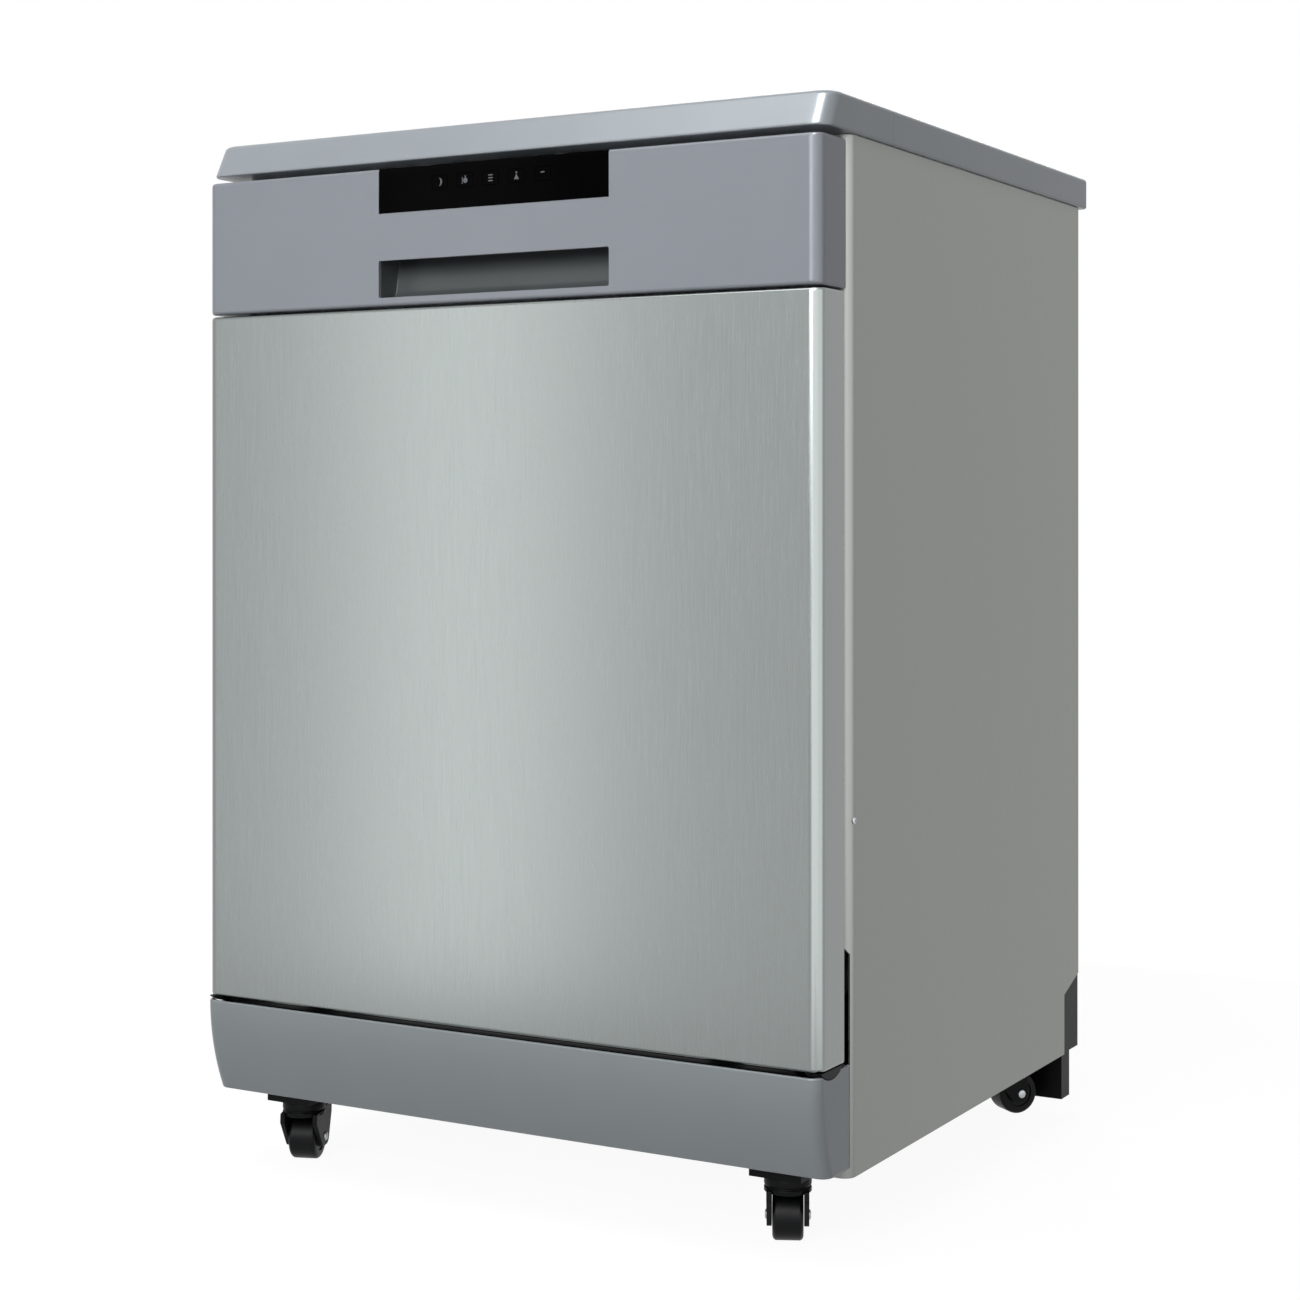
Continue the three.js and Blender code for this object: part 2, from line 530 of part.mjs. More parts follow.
// Behind the panels' notches: a hollow housing for the connections, with a low skirt.
function baseRearHousing() {
  const side = halfWidth - 7;
  const [front, back] = [notchFront + FIT, baseRear];
  const [low, high] = [baseZ - 3, baseZ + NOTCH_LOW + 14];
  const shell = box(-side, side, front, back, low, high)
    .subtract(box(-side + 3, side - 3, front - 1, back - 12, low + 3, high - 3));
  const skirt = prism('z', [
    [-side + 5, back - SKIRT_BACK], [-side + 5, back - SKIRT_FRONT], [side - 5, back - SKIRT_FRONT],
    [side - 5, back - SKIRT_BACK], [side - 8, back - SKIRT_BACK], [side - 8, back - SKIRT_FRONT + 3],
    [-side + 8, back - SKIRT_FRONT + 3], [-side + 8, back - SKIRT_BACK]], baseZ - SKIRT_BOTTOM, low + 1);
  const wall = back - 12;                        // back wall's inner face
  const bore = (x, radius, from, to) => rod('y', [x, portZ], radius, from, to, { sides: 12 });
  const pocket = (x) => prism('y', rectangle(x - 24, x + 24, portZ - 23, portZ + 23, 8),
    back - 9, back + 1, { steps: 2 });
  const spout = bore(-PORT_X, OUTLET_RADIUS + WALL, wall, back - 0.5)
    .subtract(bore(-PORT_X, OUTLET_RADIUS, wall - 2, back));
  piece('base_rear_housing', 'black_plastic', fuse(fuse(shell, skirt).subtract(fuse(
    pocket(-PORT_X), pocket(PORT_X), bore(PORT_X, INLET_RADIUS, wall - 1, back + 1),
    bore(-PORT_X, OUTLET_RADIUS, wall - 1, back + 1), bore(CORD_X, CORD_RADIUS, wall - 1, back + 1),
  )), spout));

  piece('inlet_valve', 'white_plastic', fuse(
    box(PORT_X - 17, PORT_X + 17, wall - 40, wall - 0.5, portZ - 20, portZ + 16),
    bore(PORT_X, INLET_RADIUS - FIT, wall - 1, back - 1),
    rod('z', [PORT_X, wall - 22], 11, portZ + 15, portZ + 24, { sides: 10 }))
    .subtract(bore(PORT_X, INLET_RADIUS - FIT - 3.2, back - 8, back)));
  piece('cord_gland', 'black_plastic', fuse(
    bore(CORD_X, CORD_RADIUS - FIT, wall - 1, back - 1),
    bore(CORD_X, CORD_RADIUS + WALL, wall - 3, wall - FIT),
  ).subtract(bore(CORD_X, CORD_RADIUS / 2, wall - 4, back)));
}

// ---------------------------------------------------------------- casters
function casterPlace(corner) {
  const x = halfWidth - CASTER_INSET;
  return [corner.endsWith('left') ? -x : x,
    corner.startsWith('front') ? CASTER_FRONT_Y : CABINET_DEPTH - CASTER_REAR_SPACE];
}

// A caster is built about its swivel line, trailing towards +Y, and turned into place.
function casters() {
  const inner = WHEEL_WIDTH / 2 + WHEEL_GAP;
  const outer = inner + FORK_WALL;
  const headLow = WHEEL_RADIUS * 2 + 2;
  const headHigh = CASTER_HEIGHT - PLATE_DROP - FIT;
  const axle = WHEEL_TRAIL;
  const pedalPin = [CASTER_HEAD + 5, headLow + 2];
  const cheek = [
    [-CASTER_HEAD + 3, headLow + 3], [-CASTER_HEAD + 2, headLow - 5, 3],
    [axle - 8, WHEEL_RADIUS - 8, 6], [axle + 8, WHEEL_RADIUS - 8, 6],
    [pedalPin[0] + 4, headLow - 3, 3], [pedalPin[0] + 4, headLow + 6, 3], [CASTER_HEAD - 3, headLow + 6]];
  const plain = [...cheek.slice(0, 4), [CASTER_HEAD - 3, headLow + 3]];
  const pinHole = rod('x', pedalPin, 1.8 + FIT + 0.1, -outer - 1, outer + 1, { sides: 8 });
  const cheeks = (braked) => both(braked
    ? prism('x', cheek, inner, outer, { steps: 2 }).subtract(pinHole)
    : prism('x', plain, inner, outer, { steps: 2 }));
  const crown = turned([[0, headLow], [CASTER_HEAD, headLow], [CASTER_HEAD, headHigh - 3],
    [CASTER_HEAD - 3, headHigh], [0, headHigh]], [0, 0], 14);
  const stem = rod('z', [0, 0], SPINDLE_RADIUS - FIT, headHigh - 1, CASTER_HEIGHT + 2, { sides: 8 });
  const axlePin = rod('x', [axle, WHEEL_RADIUS], 3, -outer - 1.5, outer + 1.5, { sides: 8 });
  const fork = (braked) => fuse(crown, stem, cheeks(braked), axlePin);
  const tyre = turned([[3 + FIT, -WHEEL_WIDTH / 2], [WHEEL_RADIUS - 7, -WHEEL_WIDTH / 2],
    [WHEEL_RADIUS - 2, -WHEEL_WIDTH / 2 + 3], [WHEEL_RADIUS, -WHEEL_WIDTH / 2 + 8],
    [WHEEL_RADIUS, WHEEL_WIDTH / 2 - 8], [WHEEL_RADIUS - 2, WHEEL_WIDTH / 2 - 3],
    [WHEEL_RADIUS - 7, WHEEL_WIDTH / 2], [3 + FIT, WHEEL_WIDTH / 2], [3 + FIT, -WHEEL_WIDTH / 2],
  ], [0, 0], 16).transform(new THREE.Matrix4().makeTranslation(0, axle, WHEEL_RADIUS)
    .multiply(new THREE.Matrix4().makeRotationY(Math.PI / 2)).elements);

  for (const [corner, degrees] of Object.entries(CASTER_TURN)) {
    const [x, y] = casterPlace(corner);
    const turn = new THREE.Group();
    turn.position.set(x, y, 0);
    turn.rotation.z = THREE.MathUtils.degToRad(degrees);
    machine.add(turn);
    const braked = corner.startsWith('front');
    piece(`caster_fork_${corner}`, 'black_plastic', fork(braked), turn);
    piece(`caster_wheel_${corner}`, 'tread', tyre, turn);
    if (braked) piece(`brake_pedal_${corner}`, 'black_plastic', brakePedal(), turn);
  }

  // The pedal rocks on a pin between the fork's rear ears, above the tyre.
  function brakePedal() {
    const [y, z] = pedalPin;
    const lever = prism('x', [[y - 4, z - 3, 2], [y + 4, z - 3, 2], [y + 19, z + 1, 2],
      [y + 19, z + 5, 2], [y + 3, z + 4, 2], [y - 4, z + 3, 2]], -inner + 0.7, inner - 0.7, { steps: 1 });
    const window = box(-7, 7, y + 7, y + 15, z - 4, z + 8);
    return fuse(lever.subtract(window), rod('x', pedalPin, 1.8, -outer, outer, { sides: 8 }));
  }
}

// ---------------------------------------------------------------- tub
// A steel channel along the upper rack's side, open towards the middle.
const channel = (x, low, high, back) => prism('y', [
  [x - RAIL_DEPTH, low], [x, low], [x, high], [x - RAIL_DEPTH, high],
  [x - RAIL_DEPTH, high - TUB_SHEET], [x - TUB_SHEET, high - TUB_SHEET],
  [x - TUB_SHEET, low + TUB_SHEET], [x - RAIL_DEPTH, low + TUB_SHEET]], RACK_FRONT, back);

const sumpCentre = [0, centreY];
const filterCentre = [0, centreY - FILTER_OFFSET];

function tub() {
  const half = tubHalf;
  const arch = (w, top, corner, low) => [[-w, low], [w, low], [w, top, corner], [-w, top, corner]];
  const wrap = prism('y', arch(half, tubTop, TUB_CORNER, tubFloor), tubY, tubBack)
    .subtract(prism('y', arch(tubInner, tubTop - TUB_SHEET, TUB_CORNER - TUB_SHEET, tubFloor - 1),
      tubY - 1, tubBack + 1));
  // The front flange fills the space between the tub and the side panels.
  const flangeSide = halfWidth - PANEL_BEND;
  const flange = prism('y', rectangle(-flangeSide, flangeSide, tubFloor, worktopZ - FIT - 2),
    tubY, tubY + TUB_SHEET)
    .subtract(prism('y', arch(tubInner, tubTop - TUB_SHEET, TUB_CORNER - TUB_SHEET, tubFloor - 1),
      tubY - 1, tubY + 3));
  const strikeMouth = latchMouth(tubY - 1, tubY + 3);
  const hingeMouth = both(box(half + 5, flangeSide + 1, tubY - 1, tubY + 3,
    tubFloor - 1, baseZ + HINGE_SLOT_TOP + 4));
  piece('tub_wrapper', 'tub_steel', fuse(wrap, flange).subtract(fuse(strikeMouth, hingeMouth)));

  piece('tub_back_wall', 'tub_steel', prism('y', arch(half, tubTop, TUB_CORNER, tubFloor - 1),
    tubBack + FIT, tubBack + FIT + TUB_SHEET));

  const edge = tubInner - FIT;
  const [front, back] = [tubY + 1, tubBack];
  const plate = box(-edge, edge, front, back, tubFloor, tubFloor + TUB_SHEET);
  const rim = box(-edge, edge, front, back, tubFloor, trackTop - 0.5)
    .subtract(box(-edge + TUB_SHEET, edge - TUB_SHEET, front + TUB_SHEET, back - TUB_SHEET,
      tubFloor - 1, tubFloor + 20));
  const trackX = tubInner - 6 - TRACK_WIDTH;
  const tracks = both(box(trackX, trackX + TRACK_WIDTH, front + TUB_SHEET + 8, back - 8,
    tubFloor + TUB_SHEET / 2, trackTop));
  const well = turned([[SUMP_RADIUS + FIT, tubFloor - 9], [SUMP_RADIUS + 42, tubFloor],
    [SUMP_RADIUS + 42, tubFloor + TUB_SHEET], [SUMP_RADIUS + FIT, tubFloor - 9 + TUB_SHEET],
    [SUMP_RADIUS + FIT, tubFloor - 9]], sumpCentre, 20);
  const hole = rod('z', sumpCentre, SUMP_RADIUS + 40, tubFloor - 1, tubFloor + 3, { sides: 20 });
  // Steel brackets stand out from under the tub and carry the door's pins.
  const bracket = prism('x', [
    [front + 66, tubFloor + 0.5], [front + 66, tubFloor - 34], [HINGE_Y, hingeZ - 11, 8],
    [HINGE_Y - 10, hingeZ, 5], [HINGE_Y, hingeZ + 10, 8], [front + 6, hingeZ + 10]],
  bracketX - BRACKET_THICK, bracketX, { steps: 3 });
  const foot = fuse(
    box(edge - 40, bracketX - 1, front + 6, front + 66, tubFloor - 4, tubFloor - FIT),
    box(edge - 40, edge, front + 6, front + 66, tubFloor - 4, tubFloor + 0.5));
  const pin = rod('x', [HINGE_Y, hingeZ], PIN_RADIUS, bracketX - 1, bracketX + 8, { sides: 16 });
  piece('tub_floor', 'tub_steel', fuse(plate.subtract(hole), rim, tracks, well,
    both(fuse(bracket, foot, pin))));

  // Rubber seal up one side, over the top and down the other.
  const sealLow = tubFloor + 6;
  const sealInner = tubInner + 0.5;
  piece('door_seal', 'rubber',
    prism('y', arch(sealInner + SEAL_WIDTH, tubTop + SEAL_WIDTH - 1, TUB_CORNER, sealLow), sealY, tubY - FIT)
      .subtract(prism('y', arch(sealInner, tubTop - 1, TUB_CORNER - 8, sealLow - 1), sealY - 1, tubY)));

  // Fixed rails of the upper rack: channels that open towards the middle.
  const railX = tubInner - FIT;
  const rail = channel(railX, railZ, railZ + RAIL_HEIGHT, rackBack);
  const stop = box(railX - RAIL_DEPTH, railX - 0.5, rackBack - 1, rackBack + 1, railZ + 0.5,
    railZ + RAIL_HEIGHT - 0.5);
  piece('rail_right', 'tub_steel', fuse(rail, stop));
  piece('rail_left', 'tub_steel', mirrored(fuse(rail, stop)));

  // Water rises up the back wall to the upper rack's dock and the spray head in the roof.
  const ductFront = rackBack + 2 + FIT;
  const roof = tubTop - TUB_SHEET - FIT;
  const ductBack = tubBack - TUB_SHEET - 2 * FIT;
  const floorZ = tubFloor + TUB_SHEET + FIT;
  const riser = prism('z', [[-24, ductFront + 8, 6], [24, ductFront + 8, 6], [24, ductBack],
    [-24, ductBack]], floorZ, roof - 4, { steps: 2 });
  const alongFloor = prism('y', [[-15, floorZ], [15, floorZ], [13, floorZ + 11], [-13, floorZ + 11]],
    centreY + 21, ductBack - 4);
  const across = prism('y', [[-22, roof], [22, roof], [18, roof - 11, 3], [-18, roof - 11, 3]],
    centreY - 20, ductBack - 1, { steps: 2 });
  const head = turned([[0, roof - 26], [24, roof - 26], [32, roof - 21], [34, roof - 10],
    [0, roof - 10]], sumpCentre);
  const dock = rod('y', [0, feedZ], 14, ductFront, ductFront + 12, { sides: 16 });
  piece('riser_duct', 'grey_plastic', fuse(riser, alongFloor, across, head, dock));
}

// Sump: chamber, filter well, and the tower that the lower arm turns on.
function sump() {
  const top = tubFloor - 9 + TUB_SHEET - 1;
  const pumpZ = top - PUMP_DROP;
  const pumpFoot = baseZ + TRAY_WALL + FIT;
  const disc = turned([[0, top - 4], [SUMP_RADIUS, top - 4], [SUMP_RADIUS, top], [24, top + 5],
    [0, top + 5]], sumpCentre, 20);
  const chamber = rod('z', sumpCentre, SUMP_RADIUS - 17, top - SUMP_DEPTH, top - 3, { sides: 14 });
  const tower = turned([[0, top], [20, top], [17, lowerArmZ - FIT], [SPINDLE_RADIUS, lowerArmZ - FIT],
    [SPINDLE_RADIUS, lowerArmZ + ARM_THICK + FIT], [13, lowerArmZ + ARM_THICK + FIT],
    [11, lowerArmZ + ARM_THICK + 6], [0, lowerArmZ + ARM_THICK + 6]], sumpCentre, 14);
  const well = rod('z', filterCentre, clearing(FILTER_RADIUS), top - SUMP_DEPTH + 6, top + 8);
  const outlet = rod('x', [centreY, pumpZ], 13, SUMP_RADIUS - 25, SUMP_RADIUS - 4, { sides: 14 });
  const drain = rod('x', [centreY, pumpZ], 9, -SUMP_RADIUS + 4, -SUMP_RADIUS + 25, { sides: 14 });
  piece('sump', 'grey_plastic', fuse(fuse(disc, chamber, tower).subtract(well), outlet, drain));

  const cupTop = top + 5;
  const cup = turned([[0, top - SUMP_DEPTH + 6 + FIT], [FILTER_RADIUS, top - SUMP_DEPTH + 6 + FIT],
    [FILTER_RADIUS, cupTop], [FILTER_RADIUS - 2, cupTop], [FILTER_RADIUS - 2, top - SUMP_DEPTH + 8.5],
    [0, top - SUMP_DEPTH + 8.5]], filterCentre, 16);
  const [x, y] = filterCentre;
  const handle = box(x - FILTER_RADIUS + 1, x + FILTER_RADIUS - 1, y - 3, y + 3, cupTop - 8, cupTop + 2);
  piece('filter_cup', 'grey_plastic', fuse(cup, handle));

  // Wash pump with its heater, and the drain pump, lie in the base tray.
  const port = SUMP_RADIUS - 4 + FIT;
  piece('wash_pump', 'white_plastic', fuse(
    rod('x', [centreY, pumpZ], 13, port, port + 20, { sides: 14 }),
    rod('x', [centreY, pumpZ], 42, port + 16, port + 44, { sides: 24 }),
    rod('x', [centreY, pumpZ], 33, port + 43, port + 104, { sides: 20 }),
    box(port + 30, port + 90, centreY - 14, centreY + 14, pumpFoot, pumpZ - 20)));
  piece('drain_pump', 'black_plastic', fuse(
    rod('x', [centreY, pumpZ], 9, -port - 16, -port, { sides: 14 }),
    rod('x', [centreY, pumpZ], 26, -port - 34, -port - 14, { sides: 20 }),
    rod('x', [centreY, pumpZ], 19, -port - 66, -port - 33, { sides: 16 }),
    box(-port - 56, -port - 20, centreY - 9, centreY + 9, pumpFoot, pumpZ - 12)));

  // The air break hangs between the tub and the left side panel.
  const [inside, outside] = [-tubHalf - FIT, -halfWidth + SHEET + FIT];
  const [front, rear] = [tubY + AIR_BREAK_FRONT, tubBack - AIR_BREAK_REAR];
  const [low, high] = [baseZ + AIR_BREAK_LOW, baseZ + AIR_BREAK_LOW + AIR_BREAK_HEIGHT];
  const [shoulder, step] = [high - 110, AIR_BREAK_HEIGHT * 0.23];
  const body = prism('x', [[front, low, 20], [rear, low, 20], [rear, shoulder, 40],
    [rear - 60, high, 20], [front + 40, high, 20], [front, shoulder, 20]],
  outside + AIR_BREAK_WALL, inside, { steps: 3 });
  piece('air_break', 'white_plastic', fuse(body, [0, 1, 2].map((n) => box(outside,
    outside + AIR_BREAK_WALL + 2, front + 30, rear - 30, low + 60 + n * step, low + 68 + n * step))));
}

// ---------------------------------------------------------------- spray arms
function sprayArm(name, length, z, finish) {
  const reach = length / 2;
  const [y, w] = [centreY, 22];
  const blade = prism('z', [
    [-reach, y - 12, 11], [-reach / 2, y - w + 2, 30], [0, y - w - 8, 40], [reach / 2, y - w + 4, 30],
    [reach, y - 12, 11], [reach, y + 12, 11], [reach / 2, y + w - 2, 30], [0, y + w + 8, 40],
    [-reach / 2, y + w - 4, 30], [-reach, y + 12, 11]], z, z + ARM_THICK, { steps: 2 });
  const bore = rod('z', [0, y], SPINDLE_RADIUS + FIT + 0.1, z - 1, z + ARM_THICK + 1, { sides: 14 });
  const jets = [-0.86, -0.62, -0.4, 0.36, 0.58, 0.82].map((share) => rod('z', [share * reach, y],
    3, z + ARM_THICK - 1, z + ARM_THICK + 1.5, { end: 2, sides: 4 }));
  return piece(name, finish, fuse(blade.subtract(bore), jets));
}

// ---------------------------------------------------------------- door
// A pressed shell: rounded upright edges, rounded top and bottom edges, open at the back.
function pressedShell(low, high, depth, thickness, corner, edge) {
  const form = (inset, back) => prism('z', [
    [-halfWidth + inset, back], [-halfWidth + inset, inset, corner - inset],
    [halfWidth - inset, inset, corner - inset], [halfWidth - inset, back]], low - 1, high + 1)
    .intersect(prism('x', [[inset, low + inset, edge - inset], [back, low + inset],
      [back, high - inset], [inset, high - inset, edge - inset]], -halfWidth - 1, halfWidth + 1));
  return form(0, depth).subtract(form(thickness, depth + 1));
}

function doorPanels() {
  const notch = both(box(bracketX - BRACKET_THICK - 2, bracketX + 4, HINGE_Y - 14, DOOR_RETURN + 1,
    doorBottom - 1, doorBottom + SHEET + 1));
  // Where the two shells meet, their flanges stop short of the liner's folded edges.
  const linerRoom = box(-linerHalf - 1, linerHalf + 1, linerFold - FIT, CONTROL_RETURN + 1,
    doorTop - WALL - 1, controlBottom + WALL + 1);
  piece('door_panel', 'stainless',
    pressedShell(doorBottom, doorTop, DOOR_RETURN, SHEET, DOOR_CORNER, DOOR_EDGE)
      .subtract(fuse(notch, linerRoom)));

  const half = INSERT_WIDTH / 2;
  piece('control_panel', 'silver_plastic',
    pressedShell(controlBottom, controlTop, CONTROL_RETURN, WALL, DOOR_CORNER, WALL + 0.5)
      .subtract(box(-half, half, -1, insertSeat + FIT, windowLow, controlTop + 1))
      .subtract(box(-half, half, -1, WALL + 1, gripLow, gripHigh))
      .subtract(linerRoom));
}

const insertWall = 2.2;
const stripBack = WALL + FIT;                    // behind the panel's front wall
const windowSeat = 3.8;                          // front of the plate behind the window
const insertSeat = windowSeat + 2.4;             // back of that plate
const insertTop = controlTop - FIT;
const windowLow = insertTop - WINDOW_HEIGHT + FIT;
const gripLow = controlBottom + GRIP_LIP;
const gripHigh = gripLow + GRIP_HEIGHT;
const keyZ = controlTop - KEY_DROP;
const keySpan = (KEY_COUNT - 1) * KEY_PITCH;

// Behind the panel: the scoop of the hand grip, and the plate that carries the window.
function handleInsert() {
  const half = INSERT_WIDTH / 2;
  const outerLow = gripLow - insertWall;
  const roof = gripHigh + GRIP_HOOK;
  const outer = [[stripBack, outerLow], [GRIP_FLOOR + insertWall, outerLow, 12],
    [GRIP_DEPTH + insertWall, roof + insertWall], [stripBack, roof + insertWall]];
  const scoop = prism('x', [...outer,
    [stripBack, gripHigh], [stripBack + insertWall, gripHigh], [stripBack + insertWall, roof],
    [GRIP_DEPTH, roof], [GRIP_FLOOR, gripLow, 10], [stripBack, gripLow]], -half, half);
  const plateHalf = half - FIT;
  const plate = fuse(
    box(-plateHalf, plateHalf, stripBack, stripBack + insertWall, roof + 1, windowLow),
    box(-plateHalf, plateHalf, windowSeat, insertSeat, windowLow - 1, insertTop));
  const keyHole = box(-keySpan / 2 - KEY_WIDTH / 2 - 2, keySpan / 2 + KEY_WIDTH / 2 + 2,
    windowSeat - 1, insertSeat + 1, keyZ - KEY_HEIGHT / 2 - 2, keyZ + KEY_HEIGHT / 2 + 2);
  piece('handle_insert', 'silver_plastic',
    fuse(scoop, both(prism('x', outer, half, half + insertWall)), plate.subtract(keyHole)));
}

// The window holds the keys from the front; each has a flange behind it and a short nub.
function windowAndKeys() {
  const half = INSERT_WIDTH / 2 - 0.5;
  const [front, back] = [0.2, windowSeat - FIT];
  const places = Array.from({ length: KEY_COUNT }, (_, n) => n * KEY_PITCH - keySpan / 2);
  const openings = places.map((x) => prism('y', rectangle(x - KEY_WIDTH / 2, x + KEY_WIDTH / 2,
    keyZ - KEY_HEIGHT / 2, keyZ + KEY_HEIGHT / 2, 2), front - 1, back + 1, { steps: 2 }));
  piece('display_window', 'gloss_black', box(-half, half, front, back, windowLow + FIT, insertTop)
    .subtract(fuse(openings)));
  places.forEach((x, n) => {
    const [w, h] = [KEY_WIDTH / 2 - KEY_GAP, KEY_HEIGHT / 2 - KEY_GAP];
    const cap = prism('y', rectangle(x - w, x + w, keyZ - h, keyZ + h, 1.7), front, windowSeat, { steps: 2 });
    const flange = box(x - w - 1.2, x + w + 1.2, windowSeat - 0.05, windowSeat + 0.8,
      keyZ - h - 1.2, keyZ + h + 1.2);
    const nub = rod('y', [x, keyZ], 1.5, windowSeat + 0.7, insertSeat + FIT - KEY_TRAVEL - 0.2, { sides: 8 });
    piece(`key_${n + 1}`, 'gloss_black', fuse(cap, flange, nub));
  });
  piece('control_board', 'black_plastic', fuse(
    box(-100, 100, insertSeat + FIT, 14, keyZ - 42, keyZ + 6),
    box(-82, 60, 13, 25, keyZ - 38, keyZ + 1)));
}

// Inner steel panel: border, pressed field, folded edges, and the hinge arms riveted to it.
function doorLiner() {
  const half = linerHalf;
  const [low, high] = [tubFloor - 12, controlTop - LINER_DROP];
  const back = linerY + SHEET;
  const dish = linerY - LINER_DISH;
  const field = (grow, y0, y1) => prism('y', rectangle(-half + LINER_BORDER - grow,
    half - LINER_BORDER + grow, low + LINER_BORDER - grow, high - LINER_BORDER + grow, 18),
  y0, y1, { steps: 3 });
  const folds = prism('y', rectangle(-half, half, low, high), linerFold, back)
    .subtract(prism('y', rectangle(-half + SHEET, half - SHEET, low + SHEET, high - SHEET),
      linerFold - 1, back + 1));
  const sheet = fuse(prism('y', rectangle(-half, half, low, high), linerY, back), folds,
    field(SHEET, dish, back)).subtract(field(0, dish + SHEET, back + 1));
  const [hatchX, hatchZ] = [DISPENSER_WIDTH / 2 + FIT, DISPENSER_HEIGHT / 2 + FIT];
  const hatch = box(-hatchX, hatchX, dish - 1, dish + SHEET + 1,
    baseZ + DISPENSER_Z - hatchZ, baseZ + DISPENSER_Z + hatchZ);
  const armX = bracketX + FIT;
  const arm = prism('x', [
    [HINGE_Y - 10, hingeZ - 10, 8], [HINGE_Y + 10, hingeZ - 10, 8], [HINGE_Y + 8, hingeZ + ARM_LENGTH, 4],
    [HINGE_Y - 6, hingeZ + ARM_LENGTH, 4]], armX, armX + BRACKET_THICK, { steps: 3 })
    .subtract(rod('x', [HINGE_Y, hingeZ], PIN_RADIUS + FIT + 0.15, armX - 1, armX + 5, { sides: 16 }));
  const rivets = [60, 130, 200].map((up) => box(half - SHEET / 2, armX + 1, linerY - 19, linerY - 14,
    hingeZ + up - 6, hingeZ + up + 6));
  piece('door_liner', 'tub_steel', fuse(sheet.subtract(hatch), both(fuse(arm, rivets))));

  const tongueEnd = tubY + TUB_SHEET + STRIKE_DEPTH;
  piece('door_latch', 'black_plastic', fuse(
    box(-30, 30, linerY - 18, linerY, high + FIT, controlTop - WALL - 1),
    prism('x', [[linerY - 1, high + 2], [tongueEnd, high + 4], [tongueEnd, high + 7],
      [tongueEnd - 8, high + 9], [linerY - 1, high + 9]], -14, 14)));
}


function detergentDispenser() {
  const [halfW, halfH, z] = [DISPENSER_WIDTH / 2, DISPENSER_HEIGHT / 2, baseZ + DISPENSER_Z];
  const lidHalf = LID_HEIGHT / 2;
  const face = linerY - LINER_DISH + SHEET + FIT;
  const top = face + 2.5;
  const cupX = -halfW + 12;
  const body = fuse(box(-halfW, halfW, face - 22, face + 1, z - halfH, z + halfH),
    prism('y', rectangle(-halfW - 5, halfW + 5, z - halfH - 5, z + halfH + 5, 8), face, top));
  const cup = prism('y', rectangle(cupX + 4, cupX + LID_WIDTH - 4, z - lidHalf + 4,
    z + lidHalf - 4, 6), face - 18, top + 1);
  const guideZ = lidHalf + FIT + 1.5;
  const guide = (side) => box(cupX - 4, cupX + 2 * LID_WIDTH + 10, top - 0.5, top + 3.5,
    z + side * guideZ - 1.5, z + side * guideZ + 1.5);
  const [capX, capZ] = [halfW - 26, z - halfH + 14];
  const cap = rod('y', [capX, capZ], 11, top - 0.5, top + 3, { sides: 20 });
  const grip = box(capX - 8, capX + 8, top + 2, top + 5, capZ - 1.5, capZ + 1.5);
  piece('dispenser_body', 'grey_plastic', fuse(body.subtract(cup), guide(1), guide(-1), cap, grip));
  const pull = cupX + LID_WIDTH - 14;
  piece('dispenser_lid', 'white_plastic', fuse(
    prism('y', rectangle(cupX, cupX + LID_WIDTH, z - lidHalf, z + lidHalf, 3),
      top + FIT, top + 2.6, { steps: 2 }),
    box(pull, pull + 6, top + 2, top + 5, z - 16, z + 16)));
}

// ---------------------------------------------------------------- racks
// A welded basket: a rim, a base ring, wires across and along, and rows of tines.
function rackWires(z, height, { across, along, tineRows }) {
  const half = rackHalf;
  const ring = (inset, level, radius) => wire(
    outline(rectangle(-half + inset, half - inset, RACK_FRONT + inset, rackBack - inset, 28), 3)
      .map((p) => [p.x, p.y, level]), radius, { closed: true, sides: 6 });
  const span = (count, from, to, n) => from + (to - from) * (n + 0.5) / count;
  const acrossY = Array.from({ length: across }, (_, n) => span(across, RACK_FRONT + 20, rackBack - 20, n));
  const alongX = Array.from({ length: along }, (_, n) => span(along, -half + 20, half - 20, n));
  const top = z + height;
  return fuse(
    ring(0, top, RIM_WIRE), ring(RACK_SLOPE, z, RIM_WIRE),
    acrossY.map((y) => wire([[-half, y, top], [-half + RACK_SLOPE, y, z],
      [half - RACK_SLOPE, y, z], [half, y, top]])),
    alongX.map((x) => wire([[x, RACK_FRONT, top], [x, RACK_FRONT + RACK_SLOPE, z - wireStep],
      [x, rackBack - RACK_SLOPE, z - wireStep], [x, rackBack, top]])),
    tineRows.map(({ x, first, lean }) => acrossY.slice(first).map((y) => wire(
      [[x, y, z], [x + lean, y, z + TINE_HEIGHT]]))),
  );
}

